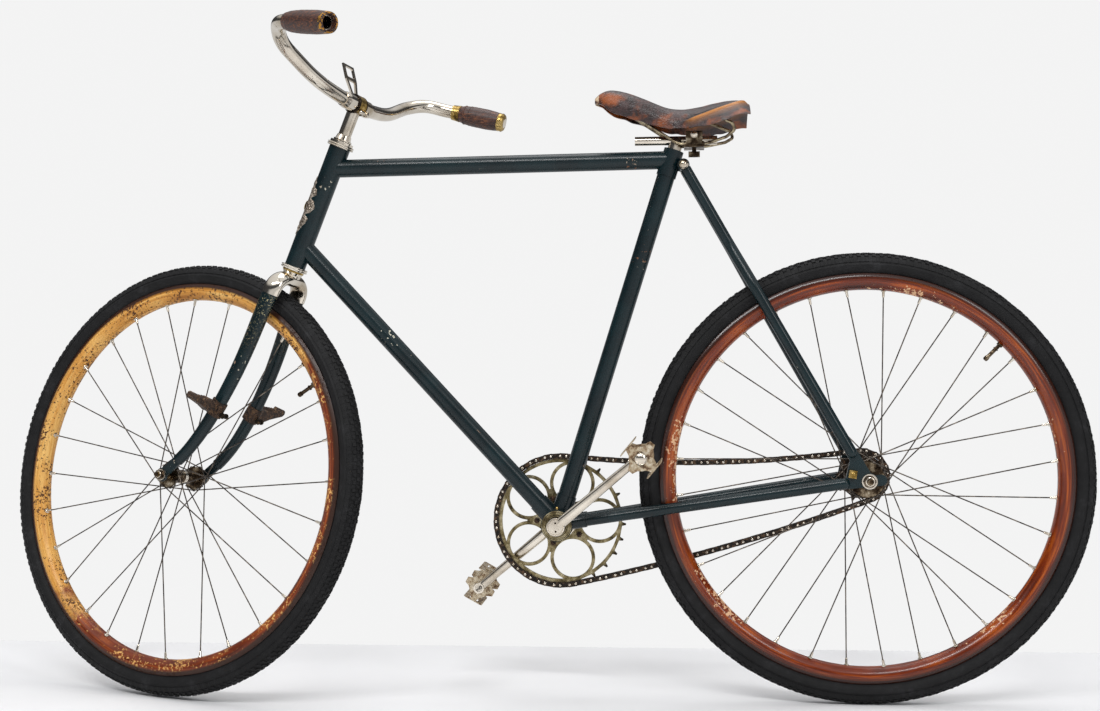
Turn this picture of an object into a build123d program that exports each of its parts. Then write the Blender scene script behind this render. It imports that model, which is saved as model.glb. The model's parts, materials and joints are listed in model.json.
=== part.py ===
from build123d import *
import math
import os

# A safety bicycle with wooden rims, a block chain and a fixed wheel.
# Modelled in a bench frame: millimetres, +X towards the rear of the bicycle, +Y to the
# rider's right (the chain side), +Z up, origin on the floor under the rear axle.
# The last step moves every piece so that the origin is on top of the saddle.

# Wheels
WHEEL_DIAMETER = 711.2
TYRE_SECTION = 38.0
TYRE_SEAT_GAP = 0.3
TYRE_SEAT_DEPTH = 11.6
RIM_SECTION_RADIUS = 16.3
SPOKE_DIAMETER = 2.0
SPOKE_SEAT_GAP = 0.05
SPOKE_RIM_GAP = 0.2
SPOKE_STAGGER = 1.1
SPOKE_RIM_OFFSET = 3.0
REAR_SPOKES = 32
FRONT_SPOKES = 28
REAR_SPOKE_PHASE = 5.4
FRONT_SPOKE_PHASE = 11.7
VALVE_DIAMETER = 6.0
VALVE_LENGTH = 34.0
REAR_VALVE_ANGLE = 45.0
FRONT_VALVE_ANGLE = 30.0

# Frame lines
WHEELBASE = 1115.8
CRANK_TO_REAR_AXLE = 484.7
CRANK_DROP = 73.3
SEAT_TUBE_ANGLE = 72.45
SEAT_TUBE_LENGTH = 620.6
HEAD_ANGLE = 68.5
HEAD_TUBE_LENGTH = 205.5
HEAD_JOINT_INSET = 36.3
SEAT_JOINT_INSET = 13.6
FORK_OVER_TYRE = 37.81
THROUGH = 400.0

# Tubes
HEAD_TUBE_DIAMETER = 34.0
MAIN_TUBE_DIAMETER = 28.6
TUBE_WALL = 1.2
HEAD_TUBE_WALL = 1.8
STAY_DIAMETER = 17.5
BRAZE_GAP = 0.1
SEAT_GAP = 0.05
DOME_STEP = 0.15

# Bottom bracket and cranks
SHELL_DIAMETER = 50.0
SHELL_WIDTH = 68.0
SHELL_WALL = 3.0
CUP_LIP_DIAMETER = 47.5
CUP_LIP_WIDTH = 3.0
CRANK_AXLE_DIAMETER = 17.0
RUNNING_GAP = 0.08
CRANK_LENGTH = 178.0
CRANK_ANGLE = 39.8
CRANK_BOSS_Y = {"left": 50.8, "right": 58.0}
CRANK_EYE_Y = 62.0
CRANK_THICKNESS = 10.5
CRANK_ROOT_WIDTH = 18.0
CRANK_TIP_WIDTH = 13.0
CRANK_BOSS_DIAMETER = 29.0
CRANK_EYE_DIAMETER = 18.0
CRANK_EYE_WIDTH = 12.0

# Chain line
CHAIN_LINE = 43.0
CHAIN_PITCH = 25.4
BLOCK_PIN_SPACING = 10.16
RING_TEETH = 26
SPROCKET_TEETH = 10
PITCHES_IN_CHAIN = 57
RING_THICKNESS = 4.4
BLOCK_WIDTH = 6.4
BLOCK_HEIGHT = 8.8
LINK_PLATE = 1.1
TOOTH_CLEARANCE = 0.35
LOWER_RUN_SAG = 9.0

# Fork and steering
STEER_TURN = 23.8
FORK_RAKE = 64.5
FORK_END_INNER_Y = 47.0
FORK_END_PLATE = 4.5
STEM_DIAMETER = 21.0
BAR_HEIGHT = 279.7
BAR_DIAMETER = 22.2

# Rear fork ends
REAR_END_INNER_Y = 57.5
REAR_END_PLATE = 5.0

# Saddle and its post
SADDLE_SETBACK = 62.57
SADDLE_RISE = 56.5
POST_DIAMETER = 22.0
POST_ARM_DIAMETER = 14.3
POST_ARM_RISE = 17.5

WHEEL_RADIUS = WHEEL_DIAMETER / 2
REAR_AXLE = Vector(0, 0, WHEEL_RADIUS)
FRONT_AXLE = Vector(-WHEELBASE, 0, WHEEL_RADIUS)
TYRE_CENTRE_RADIUS = WHEEL_RADIUS - TYRE_SECTION / 2
TYRE_FOOT_RADIUS = TYRE_CENTRE_RADIUS - TYRE_SECTION / 2 - TYRE_SEAT_GAP
RIM_CENTRE_RADIUS = TYRE_FOOT_RADIUS + TYRE_SEAT_DEPTH - RIM_SECTION_RADIUS
RIM_INNER_RADIUS = RIM_CENTRE_RADIUS - RIM_SECTION_RADIUS
CRANK_CENTRE = Vector(-CRANK_TO_REAR_AXLE, 0, WHEEL_RADIUS - CRANK_DROP)
HEAD_DIR = Vector(math.cos(math.radians(HEAD_ANGLE)), 0, math.sin(math.radians(HEAD_ANGLE)))
SEAT_DIR = Vector(math.cos(math.radians(SEAT_TUBE_ANGLE)), 0, math.sin(math.radians(SEAT_TUBE_ANGLE)))
HEAD_FORWARD = Vector(-HEAD_DIR.Z, 0, HEAD_DIR.X)
FORK_LENGTH = WHEEL_RADIUS + FORK_OVER_TYRE
HEAD_FOOT = FRONT_AXLE - HEAD_FORWARD * FORK_RAKE + HEAD_DIR * FORK_LENGTH
head_top = HEAD_FOOT + HEAD_DIR * HEAD_TUBE_LENGTH
seat_top = CRANK_CENTRE + SEAT_DIR * SEAT_TUBE_LENGTH
POST_ARM_Z = seat_top.Z + POST_ARM_RISE
SADDLE_TOP = Vector(seat_top.X + SADDLE_SETBACK, 0, POST_ARM_Z + SADDLE_RISE)
ROW_ORIGIN = SADDLE_TOP

# The steering frame: x forward, y to the rider's left, z up along the head tube.
HEAD_FRAME = Plane(origin=HEAD_FOOT, x_dir=HEAD_FORWARD, z_dir=HEAD_DIR)


def write(name, shape):
    """Move a piece to the row's origin and write it as one file."""
    export_step(shape.moved(Location(-ROW_ORIGIN)), f"parts/{name}.step")


def rod(start, end, diameter):
    """A straight solid round bar between two points."""
    start, end = Vector(*start), Vector(*end)
    return extrude(Plane(origin=start, z_dir=end - start) * Circle(diameter / 2), (end - start).length)


def pipe(start, end, diameter, wall):
    """A straight tube between two points."""
    start, end = Vector(*start), Vector(*end)
    ring = Circle(diameter / 2) - Circle(diameter / 2 - wall)
    return extrude(Plane(origin=start, z_dir=end - start) * ring, (end - start).length)


def bent_rod(points, radii, diameter):
    """A round bar that follows straight runs joined by tangent arcs."""
    path = FilletPolyline(*points, radius=radii)
    return sweep(Plane(origin=path @ 0, z_dir=path % 0) * Circle(diameter / 2), path)


def domed(shape, centre, diameter):
    """Round off the end of a bar with a ball a hair larger than the bar."""
    return shape + Sphere(diameter / 2 + DOME_STEP).moved(Location(centre))


def cross_rod(centre, diameter, y_from, y_to):
    """A round bar along Y through a point of the bicycle's middle plane."""
    return rod((centre.X, y_from, centre.Z), (centre.X, y_to, centre.Z), diameter)


def cross_through(centre, diameter):
    """A bar along Y that is long enough to cut a hole right through."""
    return cross_rod(centre, diameter, -THROUGH / 2, THROUGH / 2)


def mirrored(shape):
    """The same pieces on the rider's other side."""
    solids = [solid.mirror(Plane.XZ) for solid in shape.solids()]
    return solids[0] if len(solids) == 1 else Compound(children=solids)


def turned(profile, centre):
    """Turn a profile of (radius, y) points about the Y axis through a centre."""
    face = make_face(Plane.XY * Polyline(*[(r, y) for r, y in profile], close=True))
    return revolve(face, Axis.Y).moved(Location(centre))


def steered(shape):
    """Turn a piece of the front end from straight ahead to the stored steering angle."""
    return shape.rotate(Axis(HEAD_FOOT, HEAD_DIR), -STEER_TURN)


def at_head(shape):
    """Put a piece drawn in the steering frame in its place, straight ahead, then steer it."""
    return steered(HEAD_FRAME.location * shape)


def slab(face, y_from, y_to):
    """Extrude a face drawn in (x, z) between two distances from the middle plane."""
    return extrude(Plane(origin=(0, y_to, 0), x_dir=(1, 0, 0), z_dir=(0, -1, 0)) * face, y_to - y_from)


def outline(points):
    """A flat face inside a closed outline of straight lines."""
    return make_face(Polyline(*points, close=True))


def strip(start, end, width):
    """A flat face with round ends from one (x, z) point to another."""
    run, rise = end[0] - start[0], end[1] - start[1]
    length = math.hypot(run, rise)
    bar = SlotCenterToCenter(length, width)
    angle = math.degrees(math.atan2(rise, run))
    return Pos((start[0] + end[0]) / 2, (start[1] + end[1]) / 2) * Rot(0, 0, angle) * bar


def button(centre, diameter, y_from, y_to, bevel):
    """A short round bar along Y with a bevel on both rims."""
    radius = diameter / 2
    low, high = min(y_from, y_to), max(y_from, y_to)
    return turned([(0, low), (radius - bevel, low), (radius, low + bevel), (radius, high - bevel),
                   (radius - bevel, high), (0, high)], centre)


def between(start, end, share, y):
    """A point at a share of the run from one place to another, at its own distance sideways."""
    return (start[0] + share * (end[0] - start[0]), y, start[2] + share * (end[2] - start[2]))


def polar(radius, degrees):
    """The (x, z) place at a radius and an angle, measured from rearwards through up."""
    return radius * math.cos(math.radians(degrees)), radius * math.sin(math.radians(degrees))


def in_plane(shape, centre, degrees):
    """Turn a piece about Y, upwards from rearwards, and move it to a centre."""
    return shape.moved(Location(centre, (0, -degrees, 0)))


def on_line_z(start, direction, z):
    """The point of a line at a height."""
    return start + direction * ((z - start.Z) / direction.Z)


os.makedirs("parts", exist_ok=True)

# Head tube, top tube, seat tube and down tube, mitred to each other.
head_core = rod(HEAD_FOOT, head_top, HEAD_TUBE_DIAMETER + 2 * BRAZE_GAP)
seat_core = rod(CRANK_CENTRE, seat_top, MAIN_TUBE_DIAMETER + 2 * BRAZE_GAP)
shell_core = cross_rod(CRANK_CENTRE, SHELL_DIAMETER + 2 * BRAZE_GAP, -SHELL_WIDTH / 2, SHELL_WIDTH / 2)
head_tube = pipe(HEAD_FOOT, head_top, HEAD_TUBE_DIAMETER, HEAD_TUBE_WALL)
seat_tube = pipe(CRANK_CENTRE, seat_top, MAIN_TUBE_DIAMETER, TUBE_WALL) - shell_core
top_front = head_top - HEAD_DIR * HEAD_JOINT_INSET
top_rear = seat_top - SEAT_DIR * SEAT_JOINT_INSET
write("head_tube", head_tube)
write("seat_tube", seat_tube)

# Seat lug: the sleeve at the top of the seat tube, with the ear that the seat bolt draws together.
SEAT_LUG_DIAMETER = 31.6
SEAT_LUG_LENGTH = 41.0
SEAT_LIP = 2.5
SEAT_BOLT_BEHIND = 15.6
SEAT_BOLT_BELOW = 22.5
SEAT_EAR_DIAMETER = 17.0
STAY_TOP_SPREAD = 11.0
SEAT_EAR_HALF_WIDTH = 2.2
lug_foot = seat_top - SEAT_DIR * SEAT_LUG_LENGTH
lug_core = rod(lug_foot, seat_top, SEAT_LUG_DIAMETER + 2 * BRAZE_GAP)
seat_bolt_centre = seat_top + Vector(SEAT_BOLT_BEHIND, 0, -SEAT_BOLT_BELOW)
seat_ear = cross_rod(seat_bolt_centre, SEAT_EAR_DIAMETER, -SEAT_EAR_HALF_WIDTH, SEAT_EAR_HALF_WIDTH)
ear_root = on_line_z(CRANK_CENTRE, SEAT_DIR, seat_bolt_centre.Z)
ear_web = Box(seat_bolt_centre.X - ear_root.X, 2 * SEAT_EAR_HALF_WIDTH, SEAT_EAR_DIAMETER)
ear_web = ear_web.moved(Location((seat_bolt_centre + ear_root) * 0.5))
SEAT_BOLT_DIAMETER = 8.0
bolt_hole = cross_through(seat_bolt_centre, SEAT_BOLT_DIAMETER + 2 * SEAT_GAP)
lip_top = seat_top + SEAT_DIR * SEAT_LIP
seat_lug = rod(lug_foot, lip_top, SEAT_LUG_DIAMETER) + seat_ear + ear_web - seat_core - bolt_hole
seat_lug -= rod(lug_foot, lip_top, POST_DIAMETER + 2 * SEAT_GAP)
write("seat_lug", seat_lug)

top_tube = pipe(top_front, top_rear, MAIN_TUBE_DIAMETER, TUBE_WALL) - head_core - lug_core
write("top_tube", top_tube)
down_head = HEAD_FOOT + HEAD_DIR * HEAD_JOINT_INSET
down_tube = pipe(down_head, CRANK_CENTRE, MAIN_TUBE_DIAMETER, TUBE_WALL) - head_core - shell_core - seat_core
down_tube = down_tube.solids().sort_by(SortBy.VOLUME)[-1]
write("down_tube", down_tube)

# Rear fork ends: flat plates that join the stays and carry the axle.
FORK_END_WIDTH = 26.0
AXLE_DIAMETER = 9.5
FORK_END_NECK = 17.0
FORK_END_TAIL = (18.0, 2.0)
CHAIN_STAY_TIP = (-38.0, -3.6)
SEAT_STAY_TIP = (-27.0, 44.4)
stay_end_y = REAR_END_INNER_Y + REAR_END_PLATE / 2
axle_xz, chain_stay_xz, seat_stay_xz, tail_xz = (
    (REAR_AXLE.X + dx, REAR_AXLE.Z + dz) for dx, dz in ((0, 0), CHAIN_STAY_TIP, SEAT_STAY_TIP, FORK_END_TAIL))
end_face = strip(chain_stay_xz, axle_xz, FORK_END_NECK) + strip(seat_stay_xz, axle_xz, FORK_END_NECK)
end_face += outline([chain_stay_xz, seat_stay_xz, axle_xz])
end_face += Pos(*axle_xz) * Circle(FORK_END_WIDTH / 2) + strip(axle_xz, tail_xz, FORK_END_NECK)
end_plate = slab(end_face, REAR_END_INNER_Y, REAR_END_INNER_Y + REAR_END_PLATE)
end_plate -= cross_through(REAR_AXLE, AXLE_DIAMETER + 2 * BRAZE_GAP)
end_core = slab(offset(end_face, BRAZE_GAP), REAR_END_INNER_Y - BRAZE_GAP,
                REAR_END_INNER_Y + REAR_END_PLATE + BRAZE_GAP)
write("rear_fork_ends", Compound(children=[end_plate, mirrored(end_plate)]))

# Chain stays: narrow between chainring and tyre, wide at the fork ends.
CHAIN_STAY_ROOT_Y = 19.5
CHAIN_STAY_BENDS = [(0.223, 26.0), (0.342, 33.2)]
CHAIN_STAY_BEND_RADIUS = 110.0
chain_root = (CRANK_CENTRE.X, CHAIN_STAY_ROOT_Y, CRANK_CENTRE.Z)
chain_tip = (chain_stay_xz[0], stay_end_y, chain_stay_xz[1])
chain_bends = [between(chain_root, chain_tip, share, y) for share, y in CHAIN_STAY_BENDS]
chain_run = [chain_root] + chain_bends + [chain_tip]
stay = bent_rod(chain_run, [CHAIN_STAY_BEND_RADIUS] * 2, STAY_DIAMETER)
stay = domed(stay - shell_core, chain_tip, STAY_DIAMETER) - end_core
chain_stay = stay.solids().sort_by(SortBy.VOLUME)[-1]
write("chain_stay_right", chain_stay)
write("chain_stay_left", mirrored(chain_stay))

# Seat stays: side by side below the seat lug, then bent apart to pass the tyre.
SEAT_STAY_ROOT = (3.0, -6.0)
SEAT_STAY_BENDS = [(0.272, STAY_TOP_SPREAD), (0.419, 33.5)]
SEAT_STAY_BEND_RADII = [70.0, 90.0]
seat_root = (seat_bolt_centre.X + SEAT_STAY_ROOT[0], STAY_TOP_SPREAD, seat_bolt_centre.Z + SEAT_STAY_ROOT[1])
seat_tip = (seat_stay_xz[0], stay_end_y, seat_stay_xz[1])
seat_bends = [between(seat_root, seat_tip, share, y) for share, y in SEAT_STAY_BENDS]
seat_run = [seat_root] + seat_bends + [seat_tip]
stay = domed(bent_rod(seat_run, SEAT_STAY_BEND_RADII, STAY_DIAMETER), seat_tip, STAY_DIAMETER)
eye_outer_y = STAY_TOP_SPREAD + STAY_DIAMETER / 2
stay += cross_rod(seat_bolt_centre, SEAT_EAR_DIAMETER + 2, SEAT_EAR_HALF_WIDTH + BRAZE_GAP, eye_outer_y)
stay = stay - bolt_hole - lug_core - end_core
seat_stay = stay.solids().sort_by(SortBy.VOLUME)[-1]
write("seat_stay_right", seat_stay)
write("seat_stay_left", mirrored(seat_stay))

# Bottom bracket shell: a bored barrel with a short sleeve brazed round each tube that meets it.
SHELL_SLEEVE_REACH = 47.0
SLEEVE_WALL = 1.6
stay_dir = Vector(*chain_run[1]) - Vector(*chain_run[0])
down_dir = down_head - CRANK_CENTRE
runs = [(CRANK_CENTRE, SEAT_DIR, MAIN_TUBE_DIAMETER),
        (CRANK_CENTRE, down_dir.normalized(), MAIN_TUBE_DIAMETER),
        (Vector(*chain_root), stay_dir.normalized(), STAY_DIAMETER)]
sleeves, cores = [], []
for start, direction, diameter in runs:
    sleeves.append(rod(start, start + direction * SHELL_SLEEVE_REACH, diameter + 2 * SLEEVE_WALL))
    cores.append(rod(start, start + direction * (SHELL_SLEEVE_REACH + 1), diameter + 2 * SEAT_GAP))
sleeves.append(mirrored(sleeves[-1]))
cores.append(mirrored(cores[-1]))
hollow = sleeves[0] + sleeves[1:] - cores
shell = cross_rod(CRANK_CENTRE, SHELL_DIAMETER, -SHELL_WIDTH / 2, SHELL_WIDTH / 2) + hollow
shell -= cross_through(CRANK_CENTRE, SHELL_DIAMETER - 2 * SHELL_WALL)
shell = shell.solids().sort_by(SortBy.VOLUME)[-1]
write("bottom_bracket_shell", shell)

# Bottom bracket cups: screwed in the shell, with a grooved lip, bored for the crank axle.
CUP_DEPTH = 12.0
CUP_GROOVE_RADIUS = 19.3
CUP_GROOVE_WIDTH = 2.0
CUP_GROOVE_DEPTH = 1.6
cup_bore = CRANK_AXLE_DIAMETER / 2 + RUNNING_GAP
cup_body = SHELL_DIAMETER / 2 - SHELL_WALL - BRAZE_GAP
shell_end = SHELL_WIDTH / 2
lip_end = shell_end + CUP_LIP_WIDTH
groove_outer, groove_inner = (CUP_GROOVE_RADIUS + sign * CUP_GROOVE_WIDTH / 2 for sign in (1, -1))
groove_floor = lip_end - CUP_GROOVE_DEPTH
cup_right = turned([(cup_bore, shell_end - CUP_DEPTH), (cup_body, shell_end - CUP_DEPTH),
                    (cup_body, shell_end), (CUP_LIP_DIAMETER / 2, shell_end), (CUP_LIP_DIAMETER / 2, lip_end),
                    (groove_outer, lip_end), (groove_outer, groove_floor), (groove_inner, groove_floor),
                    (groove_inner, lip_end), (cup_bore, lip_end)], CRANK_CENTRE)
write("bottom_bracket_cups", Compound(children=[mirrored(cup_right), cup_right]))

# Seat bolt: a shank through ear and stays with a ball head at each end.
BALL_DIAMETER = 16.0
seat_bolt = cross_rod(seat_bolt_centre, SEAT_BOLT_DIAMETER, -eye_outer_y - 1, eye_outer_y + 1)
for side in (-1, 1):
    ball_centre = seat_bolt_centre + Vector(0, side * (eye_outer_y + 3), 0)
    ball = Sphere(BALL_DIAMETER / 2).moved(Location(ball_centre))
    ball -= Box(40, 40, 40).moved(Location(seat_bolt_centre + Vector(0, side * (eye_outer_y - 20), 0)))
    seat_bolt += ball
write("seat_bolt", seat_bolt)

# Seat post: a stem in the seat tube under a tube arm that runs fore and aft below the saddle.
POST_ARM_AHEAD = 61.2
POST_ARM_BEHIND = 69.0
POST_ARM_BORE = 11.3
POST_ARM_BORE_DEPTH = 30.0
POST_SOCKET = 30.0
POST_DOME_DROP = 4.0
post_corner = on_line_z(CRANK_CENTRE, SEAT_DIR, POST_ARM_Z)
dome_centre = post_corner - SEAT_DIR * POST_DOME_DROP
arm_front = Vector(seat_top.X - POST_ARM_AHEAD, 0, POST_ARM_Z)
arm_back = Vector(seat_top.X + POST_ARM_BEHIND, 0, POST_ARM_Z)
post_stem = rod(post_corner - SEAT_DIR * POST_SOCKET, dome_centre, POST_DIAMETER)
seat_post = post_stem + Sphere(POST_DIAMETER / 2).moved(Location(dome_centre))
seat_post += rod(arm_front, arm_back, POST_ARM_DIAMETER)
for mouth, inwards in ((arm_front, 1), (arm_back, -1)):
    seat_post -= rod(mouth, mouth + Vector(inwards * POST_ARM_BORE_DEPTH, 0, 0), POST_ARM_BORE)
write("seat_post", seat_post)

# Head cups: pressed in the ends of the head tube, bored for the steerer.
STEERER_DIAMETER = 25.4
CUP_FLANGE_DIAMETER = 42.0
CUP_FLANGE_WIDTH = 6.0
CUP_SOCKET = 14.0
socket_radius = HEAD_TUBE_DIAMETER / 2 - HEAD_TUBE_WALL - BRAZE_GAP
steerer_bore = STEERER_DIAMETER / 2 + RUNNING_GAP


def head_cup(z_face, direction):
    """A cup with its flange on an end of the head tube and its socket inside the tube."""
    outer = Cylinder(CUP_FLANGE_DIAMETER / 2, CUP_FLANGE_WIDTH).moved(
        Location((0, 0, z_face + direction * CUP_FLANGE_WIDTH / 2)))
    outer += Cylinder(socket_radius, CUP_SOCKET).moved(Location((0, 0, z_face - direction * CUP_SOCKET / 2)))
    return outer - Cylinder(steerer_bore, THROUGH).moved(Location((0, 0, z_face)))


cups = [HEAD_FRAME.location * head_cup(0, -1), HEAD_FRAME.location * head_cup(HEAD_TUBE_LENGTH, 1)]
write("head_cups", Compound(children=cups))

# Head badge: a thin blank plate of stacked lobes, bent round the front of the head tube.
BADGE_UP = 99.5
BADGE_THICKNESS = 1.0
# Each lobe: place up the tube from the badge's middle, width and height.
BADGE_LOBES = [(0.0, 34.0, 30.0), (21.0, 24.0, 26.0), (38.0, 12.0, 22.0), (-22.0, 22.0, 26.0),
               (-40.0, 15.0, 20.0)]
badge = Cylinder(HEAD_TUBE_DIAMETER / 2 + BRAZE_GAP + BADGE_THICKNESS, HEAD_TUBE_LENGTH / 2)
badge -= Cylinder(HEAD_TUBE_DIAMETER / 2 + BRAZE_GAP, HEAD_TUBE_LENGTH / 2)
lobes = [Pos(0, up) * Ellipse(width / 2, height / 2) for up, width, height in BADGE_LOBES]
badge &= extrude(Plane.YZ * (lobes[0] + lobes[1:]), HEAD_TUBE_DIAMETER)
write("head_badge", HEAD_FRAME.location * badge.moved(Location((0, 0, BADGE_UP))))

# Chain: blocks joined by pairs of side plates, led over chainring and sprocket.
LINK_PIN_SPACING = CHAIN_PITCH - BLOCK_PIN_SPACING
FULL_TURN = 360.0


def pin_radius(teeth):
    """The radius on which a wheel carries the chain's pins."""
    radius = CHAIN_PITCH * teeth / (2 * math.pi)
    for _ in range(20):
        half_angles = math.asin(BLOCK_PIN_SPACING / 2 / radius) + math.asin(LINK_PIN_SPACING / 2 / radius)
        radius *= half_angles * teeth / math.pi
    return radius


ring_pins = pin_radius(RING_TEETH)
sprocket_pins = pin_radius(SPROCKET_TEETH)
centre_run = math.hypot(REAR_AXLE.X - CRANK_CENTRE.X, REAR_AXLE.Z - CRANK_CENTRE.Z)
centre_angle = math.degrees(math.atan2(REAR_AXLE.Z - CRANK_CENTRE.Z, REAR_AXLE.X - CRANK_CENTRE.X))
taper = math.degrees(math.asin((ring_pins - sprocket_pins) / centre_run))


def round_wheel(centre, radius, start, end):
    """Points at one-degree steps round a wheel, as (x, z)."""
    steps = int(abs(end - start)) + 1
    places = [polar(radius, start + (end - start) * i / steps) for i in range(steps + 1)]
    return [(centre.X + x, centre.Z + z) for x, z in places]


def hanging(start, start_angle, end, end_angle):
    """Points of a slack run that leaves and meets two wheels along their tangents."""
    first, last = math.radians(start_angle), math.radians(end_angle)
    run, rise = end[0] - start[0], end[1] - start[1]
    reach = (run * math.sin(last) - rise * math.cos(last)) / math.sin(last - first)
    middle = (start[0] + reach * math.cos(first), start[1] + reach * math.sin(first))
    points = []
    for i in range(1, 60):
        t = i / 60
        points.append(tuple((1 - t) ** 2 * a + 2 * t * (1 - t) * b + t * t * c
                            for a, b, c in zip(start, middle, end)))
    return points


def chain_path(upper_dip, lower_dip):
    """The closed line of the chain's pins, from the ring's foot over its front and back."""
    upper, lower = centre_angle + 90 - taper, centre_angle - 90 + taper
    ring = round_wheel(CRANK_CENTRE, ring_pins, upper - upper_dip, FULL_TURN + lower - lower_dip)
    sprocket = round_wheel(REAR_AXLE, sprocket_pins, lower + lower_dip, upper + upper_dip)
    foot = hanging(ring[-1], lower - lower_dip + 90, sprocket[0], lower + lower_dip + 90)
    top = hanging(sprocket[-1], upper + upper_dip + 90, ring[0], upper - upper_dip + 90)
    return ring + foot + sprocket + top


def pins_along(path):
    """Walk the closed line with alternate block and link steps; also give the gap left at the end."""
    loop = path + path + path[:3]
    here, segment, pins = loop[0], 0, [loop[0]]
    for i in range(2 * PITCHES_IN_CHAIN):
        step = BLOCK_PIN_SPACING if i % 2 == 0 else LINK_PIN_SPACING
        while math.dist(here, loop[segment + 1]) < step:
            segment += 1
        (ax, az), (bx, bz) = loop[segment], loop[segment + 1]
        low, high = 0.0, 1.0
        for _ in range(40):
            t = (low + high) / 2
            short = math.dist(here, (ax + (bx - ax) * t, az + (bz - az) * t)) < step
            low, high = (t, high) if short else (low, t)
        here = (ax + (bx - ax) * low, az + (bz - az) * low)
        pins.append(here)
    whole = len(path)
    past = math.dist(here, path[0])
    return pins[:-1], past if segment >= whole else -past


lower_dip = math.degrees(4 * LOWER_RUN_SAG / centre_run)
slack_low, slack_high = 0.0, 16.0
for _ in range(40):
    upper_dip = (slack_low + slack_high) / 2
    pins, surplus = pins_along(chain_path(upper_dip, lower_dip))
    slack_low, slack_high = (upper_dip, slack_high) if surplus > 0 else (slack_low, upper_dip)

LINK_HEIGHT = 8.0
block_end = BLOCK_PIN_SPACING / 2 + 4.1
block_outline = [(block_end, -2.0), (block_end, 2.0), (block_end - 2.6, BLOCK_HEIGHT / 2),
                 (2.6 - block_end, BLOCK_HEIGHT / 2), (-block_end, 2.0), (-block_end, -2.0),
                 (2.6 - block_end, -BLOCK_HEIGHT / 2), (block_end - 2.6, -BLOCK_HEIGHT / 2)]
plate_end = LINK_PIN_SPACING / 2 + 4.0
plate_outline = [(plate_end, 0), (plate_end - 3, LINK_HEIGHT / 2), (3 - plate_end, LINK_HEIGHT / 2),
                 (-plate_end, 0), (3 - plate_end, -LINK_HEIGHT / 2), (plate_end - 3, -LINK_HEIGHT / 2)]
block_side = BLOCK_WIDTH / 2
block = slab(outline(block_outline), CHAIN_LINE - block_side, CHAIN_LINE + block_side)
plate_side = block_side + SEAT_GAP
plate_near = slab(outline(plate_outline), CHAIN_LINE - plate_side - LINK_PLATE, CHAIN_LINE - plate_side)
plate_far = slab(outline(plate_outline), CHAIN_LINE + plate_side, CHAIN_LINE + plate_side + LINK_PLATE)
chain = []
for i, (x, z) in enumerate(pins):
    next_x, next_z = pins[(i + 1) % len(pins)]
    middle = ((x + next_x) / 2, 0, (z + next_z) / 2)
    angle = math.degrees(math.atan2(next_z - z, next_x - x))
    pieces = [block] if i % 2 == 0 else [plate_near, plate_far]
    chain += [in_plane(piece, middle, angle) for piece in pieces]
write("chain", Compound(children=chain))


def gap_angle(centre):
    """The angle of the plate link that lies farthest rearwards or forwards on a wheel."""
    away = 1 if centre.X > CRANK_CENTRE.X else -1
    links = [(pins[i], pins[(i + 1) % len(pins)]) for i in range(1, len(pins), 2)]
    x, z = max((((a[0] + b[0]) / 2, (a[1] + b[1]) / 2) for a, b in links), key=lambda p: away * p[0])
    return math.degrees(math.atan2(z - centre.Z, x - centre.X))


TOOTH_FOOT = 3.0
TOOTH_TIP = 1.2
TOOTH_ABOVE_PINS = 1.8


def toothed(teeth, radius, phase):
    """The outline of a wheel with flat seats for the blocks and a tooth in each gap."""
    half = 180 / teeth
    seat = math.sqrt(radius ** 2 - (BLOCK_PIN_SPACING / 2) ** 2) - BLOCK_HEIGHT / 2 - TOOTH_CLEARANCE
    seat_half = seat * math.tan(math.radians(half)) - TOOTH_FOOT
    seat_radius = math.hypot(seat, seat_half)
    seat_turn = math.degrees(math.atan2(seat_half, seat))
    tip = radius + TOOTH_ABOVE_PINS
    tip_turn = math.degrees(math.atan2(TOOTH_TIP, tip))
    points = []
    for k in range(teeth):
        tooth = phase + 2 * half * k
        points += [polar(seat_radius, tooth - half + seat_turn), polar(tip, tooth - tip_turn),
                   polar(tip, tooth + tip_turn), polar(seat_radius, tooth + half - seat_turn)]
    return outline(points)


# Chainring: five round openings, each in its own ring, tied to the rim and to the bolt webs.
RIM_BAND_INNER = 95.0
ROUND_OPENING_CENTRE = 64.0
ROUND_OPENING_RADIUS = 31.0
ROUND_BAND_RADIUS = 36.5
WEB_RADIUS = 54.0
RING_EYE_RADIUS = 27.5
ring_face = toothed(RING_TEETH, ring_pins, gap_angle(CRANK_CENTRE)) - Circle(RIM_BAND_INNER)
ring_face += Circle(WEB_RADIUS)
for k in range(5):
    ring_face += Pos(*polar(ROUND_OPENING_CENTRE, 72 * k)) * Circle(ROUND_BAND_RADIUS)
for k in range(5):
    ring_face -= Pos(*polar(ROUND_OPENING_CENTRE, 72 * k)) * Circle(ROUND_OPENING_RADIUS)
ring_face -= Circle(RING_EYE_RADIUS)
ring_outer_y = CHAIN_LINE + RING_THICKNESS / 2
chainring = slab(ring_face, CHAIN_LINE - RING_THICKNESS / 2, ring_outer_y)
write("chainring", chainring.moved(Location(CRANK_CENTRE)))

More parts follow.
